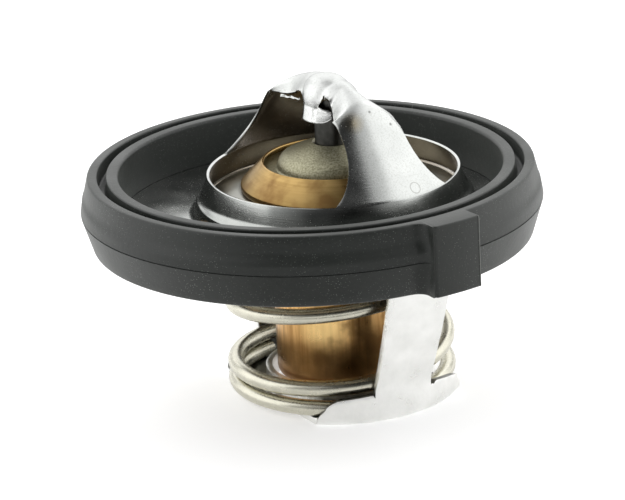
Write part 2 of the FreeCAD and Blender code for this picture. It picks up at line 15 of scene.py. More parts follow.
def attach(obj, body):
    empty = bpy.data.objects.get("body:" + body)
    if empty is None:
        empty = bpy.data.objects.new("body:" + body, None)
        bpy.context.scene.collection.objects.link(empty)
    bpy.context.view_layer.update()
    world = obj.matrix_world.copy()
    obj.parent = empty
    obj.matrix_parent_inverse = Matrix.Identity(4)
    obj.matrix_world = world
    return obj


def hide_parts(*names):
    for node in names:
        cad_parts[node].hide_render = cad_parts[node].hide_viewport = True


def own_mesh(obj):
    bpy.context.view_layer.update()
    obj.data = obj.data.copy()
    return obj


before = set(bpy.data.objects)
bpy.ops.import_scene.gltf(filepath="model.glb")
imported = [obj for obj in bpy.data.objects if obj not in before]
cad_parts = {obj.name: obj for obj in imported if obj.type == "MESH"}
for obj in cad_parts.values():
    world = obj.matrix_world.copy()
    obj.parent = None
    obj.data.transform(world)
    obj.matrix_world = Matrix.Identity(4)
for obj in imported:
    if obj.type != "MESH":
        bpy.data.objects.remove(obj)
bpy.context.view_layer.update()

MM = 0.001
VALVE_X = 3.15
RIM, RIM_RADIUS = 31.8, 17.5
FLANGE_TOP, FLANGE_RADIUS = 26.1, 29.2
SHEET = 0.9
ARM_ANGLE = math.radians(-60)
print("nodes:", sorted(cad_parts))

# %% [markdown]
# ## The camera
# The photograph was taken from a little above with a long lens, so round things turn into flat
# ellipses with almost no perspective. The camera stands 600 mm from the valve's rim, 17.9 degrees
# up, and leans 2.6 degrees, because the object's long axes climb to the right. It is aimed so that
# the rim lands on the same pixel as in the photograph, with no lens shift.

# %% Place the camera
PHOTO_WIDTH, PHOTO_HEIGHT = 625, 500
CAMERA_DISTANCE, PIXELS_PER_MM = 600, 7.246
FOCAL_PIXELS = PIXELS_PER_MM * CAMERA_DISTANCE
ELEVATION, LEAN = math.radians(17.92), math.radians(2.59)
RIM_PIXEL = (333.3, 168.1)

target = Vector((VALVE_X, 0, RIM)) * MM
to_camera = Vector((0, -math.cos(ELEVATION), math.sin(ELEVATION)))
upright = Vector((0, math.sin(ELEVATION), math.cos(ELEVATION)))
right = Vector((math.cos(LEAN), 0, 0)) - upright * math.sin(LEAN)
up = Vector((math.sin(LEAN), 0, 0)) + upright * math.cos(LEAN)
facing = Matrix((right, up, to_camera)).transposed()
pitch = math.atan((PHOTO_HEIGHT / 2 - RIM_PIXEL[1]) / FOCAL_PIXELS)
yaw = math.atan((RIM_PIXEL[0] - PHOTO_WIDTH / 2) / FOCAL_PIXELS)
facing = facing @ Matrix.Rotation(-pitch, 3, "X") @ Matrix.Rotation(yaw, 3, "Y")

camera_data = bpy.data.cameras.new("camera")
camera_data.sensor_width = 36
camera_data.lens = FOCAL_PIXELS * 36 / PHOTO_WIDTH
camera_data.clip_start = 0.01
camera = bpy.data.objects.new("camera", camera_data)
stand = target + to_camera * (CAMERA_DISTANCE * MM)
camera.matrix_world = Matrix.Translation(stand) @ facing.to_4x4()
bpy.context.scene.collection.objects.link(camera)
bpy.context.scene.camera = camera
print("lens %.0f mm" % camera_data.lens)

# %% [markdown]
# ## Helpers for nodes
# A material is a small tree of nodes. Writing each node, its settings and its inputs in one line
# keeps the trees short to read. An input is either a plain value or another node's output.

# %% Short ways to write node trees
def node(tree, kind, inputs=None, **settings):
    """Add a node, set its properties, and fill its inputs with values or other sockets."""
    new = tree.nodes.new(kind)
    for key, value in settings.items():
        setattr(new, key, value)
    for key, value in (inputs or {}).items():
        if isinstance(value, bpy.types.NodeSocket):
            tree.links.new(value, new.inputs[key])
        else:
            new.inputs[key].default_value = value
    return new


def ramp(tree, factor, stops):
    """Bend a grey value through stops, each a (position, level) pair."""
    new = node(tree, "ShaderNodeValToRGB", {"Fac": factor})
    while len(new.color_ramp.elements) < len(stops):
        new.color_ramp.elements.new(0.5)
    for element, (position, level) in zip(new.color_ramp.elements, stops):
        element.position = position
        element.color = (level, level, level, 1)
    return new.outputs["Color"]


def mixed(tree, factor, first, second, blend="MIX"):
    """Mix two colours."""
    new = node(tree, "ShaderNodeMix", data_type="RGBA", blend_type=blend)
    for socket, value in ((new.inputs[0], factor), (new.inputs[6], first), (new.inputs[7], second)):
        if isinstance(value, bpy.types.NodeSocket):
            tree.links.new(value, socket)
        else:
            socket.default_value = (*value, 1) if isinstance(value, tuple) else value
    return new.outputs[2]


def maths(tree, operation, first, second=0.0):
    """One sum on grey values."""
    return node(tree, "ShaderNodeMath", {0: first, 1: second}, operation=operation).outputs[0]


def dot(tree, first, second):
    """How far one vector reaches along another."""
    return node(tree, "ShaderNodeVectorMath", {0: first, 1: second},
                operation="DOT_PRODUCT").outputs["Value"]


def rising(tree, value, start, end, most=1.0):
    """A mask that grows from 0 to most between two lengths in millimetres."""
    return node(tree, "ShaderNodeMapRange",
                {0: value, 1: start * MM, 2: end * MM, 4: most}).outputs[0]


# %% [markdown]
# ## Effects that several finishes share
# Drawn sheet, wire and turned brass all carry a fine directional grain, everything that has lain in
# a workshop carries dust, and a single mark of wear is a small spot, and so is a painted highlight.
# Each effect is a node group, built once, with named inputs, so that each finish can use it with
# its own scale. Pictures could carry the same marks, but they would need an unwrapped surface and
# would blur in a close view.

# %% How an effect is built and placed
def effect(name, inputs, outputs):
    """A shader node group with number inputs and number outputs."""
    group = bpy.data.node_groups.new(name, "ShaderNodeTree")
    for label, value in inputs.items():
        socket = group.interface.new_socket(label, in_out="INPUT", socket_type="NodeSocketFloat")
        socket.default_value = value
    for label in outputs:
        group.interface.new_socket(label, in_out="OUTPUT", socket_type="NodeSocketFloat")
    return group, group.nodes.new("NodeGroupInput"), group.nodes.new("NodeGroupOutput")


def place_effect(tree, group, **values):
    """Put an effect into a material with its own values."""
    new = tree.nodes.new("ShaderNodeGroup")
    new.node_tree = group
    for label, value in values.items():
        new.inputs[label.replace("_", " ").capitalize()].default_value = value
    return new.outputs


# %% Grain: noise that is stretched along one direction
grain, start, end = effect("grain", {"Across": 900.0, "Along": 60.0, "Upright": 60.0}, ["Height"])
place = node(grain, "ShaderNodeTexCoord").outputs["Object"]
stretch = node(grain, "ShaderNodeCombineXYZ", {0: start.outputs[0], 1: start.outputs[1],
                                               2: start.outputs[2]})
stretched = node(grain, "ShaderNodeVectorMath", {0: place, 1: stretch.outputs[0]},
                 operation="MULTIPLY")
threads = node(grain, "ShaderNodeTexNoise", {"Vector": stretched.outputs[0], "Scale": 1.0,
                                             "Detail": 5.0, "Roughness": 0.6})
grain.links.new(threads.outputs["Fac"], end.inputs["Height"])

# %% Blotches: soft clouds round a middle grey
blotch, start, end = effect("blotches", {"Scale": 120.0, "Contrast": 2.0}, ["Tone"])
place = node(blotch, "ShaderNodeTexCoord").outputs["Object"]
cloud = node(blotch, "ShaderNodeTexNoise", {"Vector": place, "Scale": start.outputs[0],
                                            "Detail": 4.0})
centred = maths(blotch, "SUBTRACT", cloud.outputs["Fac"], 0.5)
scaled = maths(blotch, "MULTIPLY", centred, start.outputs[1])
tone = node(blotch, "ShaderNodeMath", {0: scaled, 1: 0.5}, operation="ADD", use_clamp=True)
blotch.links.new(tone.outputs[0], end.inputs["Tone"])

# %% Dust: the middles of scattered cells, thicker in some places than in others
dust, start, end = effect("dust", {"Scale": 1500.0, "Amount": 0.3}, ["Mask"])
place = node(dust, "ShaderNodeTexCoord").outputs["Object"]
cells = node(dust, "ShaderNodeTexVoronoi", {"Vector": place, "Scale": start.outputs[0]})
drift = node(dust, "ShaderNodeTexNoise", {"Vector": place, "Scale": 160.0, "Detail": 3.0})
reach = maths(dust, "MULTIPLY", drift.outputs["Fac"], start.outputs[1])
inside = maths(dust, "SUBTRACT", reach, cells.outputs["Distance"])
mask = node(dust, "ShaderNodeMath", {0: inside, 1: 9.0}, operation="MULTIPLY", use_clamp=True)
dust.links.new(mask.outputs[0], end.inputs["Mask"])

# %% Spot: 1 round a point, and fading to 0 between two radii
spot, start, end = effect("spot", {"Centre x": 0.0, "Centre y": 0.0, "Centre z": 0.0,
                                   "Inner": 0.001, "Outer": 0.002}, ["Mask"])
place = node(spot, "ShaderNodeTexCoord").outputs["Object"]
centre = node(spot, "ShaderNodeCombineXYZ", {0: start.outputs[0], 1: start.outputs[1],
                                             2: start.outputs[2]})
away = node(spot, "ShaderNodeVectorMath", {0: place, 1: centre.outputs[0]}, operation="DISTANCE")
fading = node(spot, "ShaderNodeMapRange", {0: away.outputs["Value"], 1: start.outputs["Outer"],
                                           2: start.outputs["Inner"]})
spot.links.new(fading.outputs[0], end.inputs["Mask"])
print("effects:", [group.name for group in (grain, blotch, dust, spot)])

# %% [markdown]
# ## Finishes
# Every finish starts from Blender's Principled shader. What is the same all over, such as being a
# metal, is set on the shader itself. What changes over the surface comes from nodes that read the
# piece's own coordinates, so it stays put when the piece moves.

# %% A base for each finish
def finish(name, metallic, roughness):
    """A new material with its Principled shader and tree."""
    material = bpy.data.materials.new(name)
    material.use_nodes = True
    shader = material.node_tree.nodes["Principled BSDF"]
    shader.inputs["Metallic"].default_value = metallic
    shader.inputs["Roughness"].default_value = roughness
    return material, material.node_tree, shader


def painted_grazing_reflection(tree, start=0.82, most=0.75):
    """Painted reflection: a mask where a surface turns away from the eye, for painting in what it
    mirrors there.
    """
    facing = node(tree, "ShaderNodeLayerWeight", {"Blend": 0.5}).outputs["Facing"]
    return ramp(tree, facing, [(start, 0.0), (1.0, most)])


def near_point(tree, centre, radius, soft):
    """1 within a radius of a point, fading to 0 over a soft margin; all in millimetres."""
    x, y, z = (part * MM for part in centre)
    return place_effect(tree, spot, centre_x=x, centre_y=y, centre_z=z, inner=radius * MM,
                        outer=(radius + soft) * MM)["Mask"]


def away_from_axis(tree, place, height, start, end):
    """Points seen from one on the valve's axis, and 1 where a face looks away from it."""
    seen = node(tree, "ShaderNodeVectorMath",
                {0: place, 1: (-VALVE_X * MM, 0.0, -height * MM)}).outputs[0]
    normal = node(tree, "ShaderNodeNewGeometry").outputs["Normal"]
    return seen, rising(tree, dot(tree, seen, normal), start, end)


def bump(tree, shader, height, distance):
    """Give the surface fine relief."""
    relief = node(tree, "ShaderNodeBump", {"Height": height, "Distance": distance,
                                           "Strength": 1.0})
    tree.links.new(relief.outputs[0], shader.inputs["Normal"])


# %% [markdown]
# ### Rubber
# The seal is moulded from black rubber: matte, a little cloudy, and it holds pale dust. One dark
# colour would look like hard plastic, so clouds change its tone, a painted sheen pales it where it
# turns away from the eye, it is paler towards its right side, and fine specks lie over it. Along
# one edge of the tab the mould has left a thin flash; a painted highlight along it is a mask
# between two planes.

# %% Moulded rubber
rubber, tree, shader = finish("seal rubber", 0.0, 0.5)
specks = place_effect(tree, dust, scale=3300.0, amount=0.32)["Mask"]
cloudy = place_effect(tree, blotch, scale=90.0, contrast=2.2)["Tone"]
tone = mixed(tree, cloudy, (0.013, 0.016, 0.0135), (0.023, 0.027, 0.0235))
place = node(tree, "ShaderNodeTexCoord").outputs["Object"]
ACROSS_TAB, OUT_OF_TAB = (0.819, 0.574, 0.0), (0.574, -0.819, 0.0)
# Painted highlight: a pale line along the mould flash at the tab's edge.
flash_highlight = maths(tree, "MULTIPLY", rising(tree, dot(tree, place, ACROSS_TAB), 3.46, 3.52),
              rising(tree, dot(tree, place, OUT_OF_TAB), 33.0, 33.2))
tone = mixed(tree, flash_highlight, tone, (0.26, 0.27, 0.25))
# Painted sheen: the rubber is paler where it turns away from the eye.
tone = mixed(tree, painted_grazing_reflection(tree, 0.40, 0.8), tone, (0.095, 0.102, 0.094))
# Paler towards the seal's right side.
sideways = node(tree, "ShaderNodeSeparateXYZ", {0: place}).outputs[0]
paler_to_right = rising(tree, sideways, 12, 31, most=0.6)
tone = mixed(tree, paler_to_right, tone, (0.062, 0.067, 0.061))
tree.links.new(mixed(tree, specks, tone, (0.22, 0.235, 0.215)), shader.inputs["Base Color"])
tree.links.new(ramp(tree, cloudy, [(0.0, 0.40), (1.0, 0.56)]), shader.inputs["Roughness"])
bump(tree, shader, place_effect(tree, blotch, scale=1400.0, contrast=1.2)["Tone"], 0.00003)
print("seal rubber: %d nodes" % len(tree.nodes))

# %% [markdown]
# ### Steel of the frame
# The frame is one steel sheet, but it doesn't shine alike all over. The drawn bridge is bright, the
# flange is grey, and the faces towards the valve are browned. Two masks tell them apart: how high a
# point lies, and whether its face looks away from a point on the valve's axis. They could be
# painted on an unwrapped surface instead, but masks also hold when a shape changes.

# %% Frame steel: masks for its outer faces and its levels
frame_steel, tree, shader = finish("frame steel", 1.0, 0.3)
place = node(tree, "ShaderNodeTexCoord").outputs["Object"]
_, outside = away_from_axis(tree, place, 8, -0.5, 1.5)
upward = node(tree, "ShaderNodeSeparateXYZ", {0: place}).outputs[2]
risen = rising(tree, upward, 31.0, 32.1)
crown = rising(tree, upward, 41.5, 43.5)
print("frame steel: bright above the rim, satin on the crown")

# %% Frame steel: the bright bridge with a painted highlight and its marks of wear
grey = place_effect(tree, blotch, scale=240.0, contrast=1.8)["Tone"]
fine = place_effect(tree, blotch, scale=3800.0, contrast=3.0)["Tone"]
bright = mixed(tree, grey, (0.53, 0.545, 0.53), (0.68, 0.695, 0.675))
# Painted highlight: a bright patch on the hood's near flap.
painted_highlight = near_point(tree, (1.9, -3.0, 41.9), 1.7, 1.9)
bright = mixed(tree, crown, bright, mixed(tree, grey, (0.58, 0.59, 0.58), (0.72, 0.735, 0.72)))
bright = mixed(tree, painted_highlight, bright, (0.84, 0.85, 0.835))
bright = mixed(tree, ramp(tree, fine, [(0.0, 0.35), (0.55, 0.0)]), bright, (0.42, 0.43, 0.40))
heated = near_point(tree, (6.1, -10.3, 41.4), 0.3, 1.5)
bright = mixed(tree, maths(tree, "MULTIPLY", heated, 0.6), bright, (0.50, 0.41, 0.24))
for centre in ((8.35, -8.3, 42.2), (11.2, -8.0, 40.3)):
    nick = near_point(tree, centre, 0.12, 0.16)
    bright = mixed(tree, maths(tree, "MULTIPLY", nick, 0.7), bright, (0.10, 0.10, 0.09))
PRESS_MARK = (14.1, -12.85, 32.65)
ring = maths(tree, "SUBTRACT", near_point(tree, PRESS_MARK, 0.82, 0.08),
             near_point(tree, PRESS_MARK, 0.66, 0.08))
bright = mixed(tree, maths(tree, "MULTIPLY", ring, 0.45), bright, (0.22, 0.22, 0.20))
print("marks: a frosted flap, a heat tint, two nicks and a ring")

# %% Frame steel: grey flange, browned inner faces, gloss and grain
dull = mixed(tree, grey, (0.33, 0.345, 0.33), (0.48, 0.49, 0.47))
browned = mixed(tree, grey, (0.21, 0.18, 0.135), (0.40, 0.345, 0.265))
sheet = mixed(tree, outside, browned, mixed(tree, risen, dull, bright))
# Painted reflection: the sheet is darker where it turns away from the eye.
sheet = mixed(tree, painted_grazing_reflection(tree), sheet, (0.16, 0.165, 0.155))
specks = place_effect(tree, dust, scale=2600.0, amount=0.26)["Mask"]
tree.links.new(mixed(tree, specks, sheet, (0.55, 0.55, 0.50)), shader.inputs["Base Color"])
rough = ramp(tree, grey, [(0.0, 0.15), (1.0, 0.26)])
rough = mixed(tree, crown, rough, (0.42, 0.42, 0.42))
tree.links.new(mixed(tree, specks, rough, (0.6, 0.6, 0.6)), shader.inputs["Roughness"])
bump(tree, shader, place_effect(tree, grain, across=300.0, along=300.0,
                                upright=6000.0)["Height"], 0.000006)
print("frame steel: %d nodes" % len(tree.nodes))

# %% [markdown]
# ### Tin of the cage
# The cage is tinned, and its outer faces are the palest of the whole object: soft, cloudy and
# almost white. Its inner faces have nothing bright to mirror, so their shade is painted in as grey,
# except on the guide's collar. The same mask as on the frame sorts them, seen from a point higher
# up the axis.

# %% Bright tin of the cage
tin, tree, shader = finish("cage tin", 1.0, 0.3)
grey = place_effect(tree, blotch, scale=260.0, contrast=2.4)["Tone"]
place = node(tree, "ShaderNodeTexCoord").outputs["Object"]
seen, outside = away_from_axis(tree, place, 16, -2, 1)
level = node(tree, "ShaderNodeVectorMath", {0: seen, 1: (1.0, 1.0, 0.0)},
             operation="MULTIPLY").outputs[0]
from_axis = node(tree, "ShaderNodeVectorMath", {0: level}, operation="LENGTH").outputs["Value"]
collar_face = rising(tree, from_axis, 11.4, 10.8)
outside = maths(tree, "MAXIMUM", outside, collar_face)
tinned = mixed(tree, grey, (0.80, 0.805, 0.78), (0.96, 0.96, 0.94))
# Painted shade: inner faces grey, outer faces tinned.
tree.links.new(mixed(tree, outside, (0.20, 0.20, 0.185), tinned), shader.inputs["Base Color"])
tree.links.new(ramp(tree, grey, [(0.0, 0.24), (1.0, 0.44)]), shader.inputs["Roughness"])
bump(tree, shader, place_effect(tree, blotch, scale=600.0, contrast=1.8)["Tone"], 0.00006)
print("cage tin: %d nodes" % len(tree.nodes))

# %% [markdown]
# ### Wire of the spring
# Spring wire is drawn through a die. It keeps a satin sheen and a slight yellow cast, and the dark
# that its rounded sides mirror is painted into their colour, which is what lets a coil stand out
# from white.

# %% Drawn wire of the spring
wire_steel, tree, shader = finish("spring steel", 1.0, 0.4)
grey = place_effect(tree, blotch, scale=500.0, contrast=1.6)["Tone"]
clean = mixed(tree, grey, (0.53, 0.515, 0.43), (0.70, 0.68, 0.57))
# Painted reflection: the wire is darker where it turns away from the eye.
tree.links.new(mixed(tree, painted_grazing_reflection(tree, 0.86, 0.8), clean, (0.14, 0.14, 0.12)),
               shader.inputs["Base Color"])
tree.links.new(ramp(tree, grey, [(0.0, 0.22), (1.0, 0.32)]), shader.inputs["Roughness"])
bump(tree, shader, place_effect(tree, grain, across=700.0, along=700.0,
                                upright=5000.0)["Height"], 0.000003)
print("spring steel: %d nodes" % len(tree.nodes))

# %% [markdown]
# ### Brass of the cup
# The cup's body was drawn through a ring, so its lines run up and down, and it is redder than its
# head. The head was crimped as it turned, so its lines run round it, and it is more golden. One
# material holds both, and the level on the piece chooses between them. Dark stains lie over both.

# %% Cup brass: turned head and drawn body
brass, tree, shader = finish("cup brass", 1.0, 0.34)
place = node(tree, "ShaderNodeTexCoord").outputs["Object"]
upward = node(tree, "ShaderNodeSeparateXYZ", {0: place}).outputs[2]
head = rising(tree, upward, 26, 29)
threads = place_effect(tree, grain, across=110.0, along=110.0, upright=3000.0)["Height"]
drawing_lines = place_effect(tree, grain, across=1500.0, along=1500.0, upright=70.0)["Height"]
stain = place_effect(tree, blotch, scale=230.0, contrast=3.4)["Tone"]
golden = mixed(tree, threads, (0.31, 0.195, 0.06), (0.66, 0.455, 0.19))
streaks = ramp(tree, drawing_lines, [(0.34, 0.0), (0.66, 1.0)])
copper = mixed(tree, streaks, (0.44, 0.24, 0.08), (0.98, 0.62, 0.25))
print("cup brass: %d nodes for its two colours" % len(tree.nodes))

# %% Cup brass: darker parts, painted highlight, shadow and reflection, stains and gloss
low_band = rising(tree, upward, 13, 4)
copper = mixed(tree, low_band, copper, (0.40, 0.22, 0.085))
# Darker to the right of a vertical line on the cup's body.
beside = node(tree, "ShaderNodeSeparateXYZ", {0: place}).outputs[0]
darker_right_part = rising(tree, beside, 6.55, 6.62)
copper = mixed(tree, maths(tree, "MULTIPLY", darker_right_part, 0.45), copper, (0.27, 0.155, 0.065))
# Painted highlight: a bright golden patch on the front of the cup.
painted_cup_highlight = near_point(tree, (0.7, -8.8, 11.4), 1.2, 3.0)
copper = mixed(tree, maths(tree, "MULTIPLY", painted_cup_highlight, 0.7), copper, (0.98, 0.70, 0.30))
# Painted shadow: the head is darker towards its lower edge.
painted_head_shadow = rising(tree, upward, 32.8, 30.3, most=0.6)
golden = mixed(tree, painted_head_shadow, golden, (0.20, 0.13, 0.045))
clean = mixed(tree, head, copper, golden)
clean = mixed(tree, ramp(tree, stain, [(0.45, 0.0), (1.0, 0.75)]), clean, (0.22, 0.12, 0.042))
# Painted reflection: the brass is darker where it turns away from the eye.
tree.links.new(mixed(tree, painted_grazing_reflection(tree), clean, (0.12, 0.065, 0.025)),
               shader.inputs["Base Color"])
tree.links.new(ramp(tree, stain, [(0.0, 0.26), (1.0, 0.44)]), shader.inputs["Roughness"])
bump(tree, shader, mixed(tree, head, drawing_lines, threads), 0.00001)
print("cup brass: %d nodes" % len(tree.nodes))

# %% [markdown]
# ### Guide, pin and disc
# The guide is an aged, grainy bronze that has lost its gloss, so it is only partly metallic here.
# The pin is ground steel that stands in shadow, and that shade is painted into its dark colour;
# the disc is plain pressed steel.

# %% Aged bronze of the guide
bronze, tree, shader = finish("guide bronze", 0.75, 0.5)
cloudy = place_effect(tree, blotch, scale=4200.0, contrast=3.0)["Tone"]
aged = mixed(tree, cloudy, (0.24, 0.225, 0.14), (0.56, 0.54, 0.385))
# Painted reflection: the bronze is darker where it turns away from the eye.
tree.links.new(mixed(tree, painted_grazing_reflection(tree, 0.35, 0.7), aged, (0.15, 0.135, 0.085)),
               shader.inputs["Base Color"])
tree.links.new(ramp(tree, cloudy, [(0.0, 0.40), (1.0, 0.58)]), shader.inputs["Roughness"])
bump(tree, shader, cloudy, 0.000006)
print("guide bronze: %d nodes" % len(tree.nodes))

# %% Ground steel of the pin
pin_steel, tree, shader = finish("pin steel", 1.0, 0.36)
grey = place_effect(tree, blotch, scale=800.0, contrast=2.0)["Tone"]
# Painted shade: the pin's dark colour stands for the shadow it is in.
tree.links.new(mixed(tree, grey, (0.065, 0.065, 0.06), (0.12, 0.12, 0.11)),
               shader.inputs["Base Color"])
bump(tree, shader, place_effect(tree, grain, across=200.0, along=200.0,
                                upright=3000.0)["Height"], 0.00002)
print("pin steel: %d nodes" % len(tree.nodes))

# %% Pressed steel of the disc
disc_steel, tree, shader = finish("disc steel", 1.0, 0.3)
grey = place_effect(tree, blotch, scale=350.0, contrast=1.8)["Tone"]
tree.links.new(mixed(tree, grey, (0.23, 0.23, 0.205), (0.37, 0.37, 0.335)),
               shader.inputs["Base Color"])
tree.links.new(ramp(tree, grey, [(0.0, 0.26), (1.0, 0.42)]), shader.inputs["Roughness"])
bump(tree, shader, grey, 0.00002)
print("disc steel: %d nodes" % len(tree.nodes))

# %% [markdown]
# ### Wax and washer
# Both are sealed in the cup, and no view of the whole object shows them. A plain tone with soft
# clouds is enough: yellowish for wax with fine metal in it, and clean white for the washer.

# %% Wax and washer
wax, tree, shader = finish("wax", 0.0, 0.5)
cloudy = place_effect(tree, blotch, scale=300.0, contrast=1.6)["Tone"]
tree.links.new(mixed(tree, cloudy, (0.62, 0.57, 0.42), (0.72, 0.68, 0.54)),
               shader.inputs["Base Color"])
white_washer, tree, shader = finish("washer white", 0.0, 0.45)
cloudy = place_effect(tree, blotch, scale=500.0, contrast=1.2)["Tone"]
tree.links.new(mixed(tree, cloudy, (0.78, 0.78, 0.75), (0.86, 0.86, 0.84)),
               shader.inputs["Base Color"])
print("finishes:", len(bpy.data.materials))

# %% [markdown]
# ## Helpers for meshes
# Most pieces are turned, drawn or moulded round an axis. Their section is an outline with rounded
# corners: real edges are never perfectly sharp, and the small radii are what catch the light.
# Sheet pieces are grids of rows instead. Both end in the same skin of faces.

# %% Rounded outlines
def rounded(corners, closed=True, steps=5):
    """An outline from corners (across, up) or (across, up, radius)."""
    points = []
    for index, corner in enumerate(corners):
        here = Vector(corner[:2])
        radius = corner[2] if len(corner) > 2 else 0
        if not radius or (not closed and index in (0, len(corners) - 1)):
            points.append(here)
            continue
        back = (Vector(corners[index - 1][:2]) - here).normalized()
        ahead = (Vector(corners[(index + 1) % len(corners)][:2]) - here).normalized()
        half = back.angle(ahead) / 2
        centre = here + (back + ahead).normalized() * (radius / math.sin(half))
        first = here + back * (radius / math.tan(half)) - centre
        last = here + ahead * (radius / math.tan(half)) - centre
        turn = math.atan2(first.x * last.y - first.y * last.x, first.dot(last))
        for step in range(steps + 1):
            angle = turn * step / steps
            points.append(centre + Matrix.Rotation(angle, 2) @ first)
    return points


# %% A skin of faces over rows of vertices
def skin(bm, rows, loop_across=False, loop_along=False):
    """Join rows of vertices with faces, leaving out what has no area."""
    count = len(rows[0])
    for index in range(len(rows) if loop_along else len(rows) - 1):
        row, following = rows[index], rows[(index + 1) % len(rows)]
        for place in range(count if loop_across else count - 1):
            after = (place + 1) % count
            corners = []
            for vertex in (row[place], row[after], following[after], following[place]):
                if vertex not in corners:
                    corners.append(vertex)
            if len(corners) > 2:
                bm.faces.new(corners)


# %% Turned pieces
def turned(bm, outline, x=VALVE_X, y=0.0, segments=160):
    """Turn a closed outline round an upright axis."""
    rows = []
    for point in outline:
        if point.x < 1e-6:
            rows.append([bm.verts.new((x * MM, y * MM, point.y * MM))] * segments)
            continue
        rows.append([bm.verts.new(((x + point.x * math.cos(angle)) * MM,
                                   (y + point.x * math.sin(angle)) * MM, point.y * MM))
                     for angle in (2 * math.pi * step / segments for step in range(segments))])
    on_axis = outline[0].x < 1e-6 and outline[-1].x < 1e-6
    skin(bm, rows, loop_across=True, loop_along=not on_axis)


# %% Put a finished piece into the scene
def add_piece(name, bm, material, node_name, body, sharp=38, closed=True):
    """Make the object, smooth it, attach it to its body, and hide the exact part it stands for."""
    bmesh.ops.remove_doubles(bm, verts=bm.verts, dist=1e-7)
    if closed:
        bmesh.ops.recalc_face_normals(bm, faces=bm.faces)
    mesh = bpy.data.meshes.new(name)
    bm.to_mesh(mesh)
    bm.free()
    mesh.shade_smooth()
    mesh.set_sharp_from_angle(angle=math.radians(sharp))
    piece = bpy.data.objects.new(name, mesh)
    bpy.context.scene.collection.objects.link(piece)
    mesh.materials.append(material)
    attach(piece, body)
    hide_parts(node_name)
    print("%s: %d faces" % (name, len(mesh.polygons)))
    return piece


# %% [markdown]
# ## The seal
# The seal is one moulding: a channel that grips the flange, with a groove in its top and a tab that
# finds a notch in the housing. A turned section alone can't have the tab, so the section is
# carried round the ring step by step, and where the tab is, its outer wall is pushed out to the
# tab's plan. The parting line of the mould is a fine bead half-way up.

# %% The seal's outer wall and the tab's plan
SEAL_LOW, SEAL_TOP = 22.5, 32.5
TAB_ANGLE = -55.0
WALL = [(SEAL_LOW, 30.5), (27.28, 31.98), (27.34, 31.84), (27.42, 31.84), (27.48, 32.0),
        (29.30, 31.70), (29.38, 31.60), (SEAL_TOP, 30.85)]
tab_plan = rounded([(30.4, -3.62), (33.35, -3.6, 0.35), (33.38, 3.44), (33.47, 3.56),
                    (33.43, 3.63), (30.4, 3.66)], closed=False, steps=7)
tab_polar = [(math.degrees(math.atan2(p.y, p.x)), p.length) for p in tab_plan]
TAB_SIDE, TAB_FILLET, TAB_REACH = 3.6, 1.7, 33.3
print("tab: %.1f to %.1f degrees round the seal" % (tab_polar[0][0], tab_polar[-1][0]))

# %% Where the outer wall stands at each level and direction
def between(table, value):
    """Straight-line interpolation in a table of pairs."""
    for (low, first), (high, last) in zip(table, table[1:]):
        if low <= value <= high:
            return first + (last - first) * (value - low) / max(high - low, 1e-9)
    return None


def edge_inset(height, radius):
    """How far a rounded edge stands back near the top and bottom of the wall."""
    depth = min(height - SEAL_LOW, SEAL_TOP - height)
    if depth >= radius:
        return 0.0
    return radius - math.sqrt(max(radius ** 2 - (radius - depth) ** 2, 0))


def tab_reach(offset, wall):
    """Radius of the tab's plan, with the hollow fillet between its left side and the wall."""
    plan = between(tab_polar, offset) or 0.0
    if not -20 < offset < 0:  # the hollow fillet is only on the left
        return plan
    aside = -TAB_SIDE - wall * math.sin(math.radians(offset))
    if 0 <= aside < TAB_FILLET:
        hollow = TAB_FILLET - math.sqrt(TAB_FILLET ** 2 - (TAB_FILLET - aside) ** 2)
        plan = max(plan, min(wall + hollow, TAB_REACH))
    elif aside < 0:
        plan = max(plan, TAB_REACH)
    return plan


# %% Build the seal ring
near_edge = [0.0, 0.03, 0.09, 0.18, 0.3]
levels = sorted({SEAL_LOW + d for d in near_edge} | {SEAL_TOP - d for d in near_edge} |
                {height for height, _ in WALL} | {23.6, 24.8, 26.0, 27.38, 28.4, 30.4, 31.4})
FLANGE_LOW, GROOVE_FLOOR, HOLLOW_ROOF = FLANGE_TOP - SHEET, 30.3, 24.2
groove = [(30.6, SEAL_TOP), (29.5, SEAL_TOP, 0.25), (29.45, GROOVE_FLOOR, 0.35),
          (28.3, GROOVE_FLOOR, 0.35), (28.25, SEAL_TOP, 0.25), (26.55, SEAL_TOP, 0.45)]
grip = [(26.6, 26.14), (FLANGE_RADIUS, FLANGE_TOP), (FLANGE_RADIUS, FLANGE_LOW),
        (26.9, FLANGE_LOW)]
underside = [(27.1, SEAL_LOW, 0.3), (28.2, SEAL_LOW, 0.2), (28.3, HOLLOW_ROOF, 0.3),
             (29.3, HOLLOW_ROOF, 0.3), (29.4, SEAL_LOW, 0.2), (30.3, SEAL_LOW)]
inner = rounded(groove + grip + underside, closed=False)[1:-1]
angles = [step * 1.25 for step in range(288) if not -15 < (step * 1.25 + 180) % 360 - 180 < 10]
angles += [-15 + 0.25 * step for step in range(101)] + [angle for angle, _ in tab_polar]
angles += [-9.7 + 0.1 * step for step in range(36)]
angles = sorted({round((angle + 180) % 360 - 180, 4) for angle in angles})
bm = bmesh.new()
rows = []
for offset in angles:
    direction = math.radians(TAB_ANGLE + offset)
    section = []
    for height in levels:
        wall = between(WALL, height)
        reach = tab_reach(offset, wall)
        edge = 0.3 if wall > reach else 0.25
        section.append((max(wall, reach) - edge_inset(height, edge), height))
    section += [(p.x, p.y) for p in inner]
    rows.append([bm.verts.new((r * math.cos(direction) * MM, r * math.sin(direction) * MM, z * MM))
                 for r, z in section])
skin(bm, rows, loop_across=True, loop_along=True)
add_piece("moulded_seal", bm, rubber, "seal_ring", "frame", sharp=45)

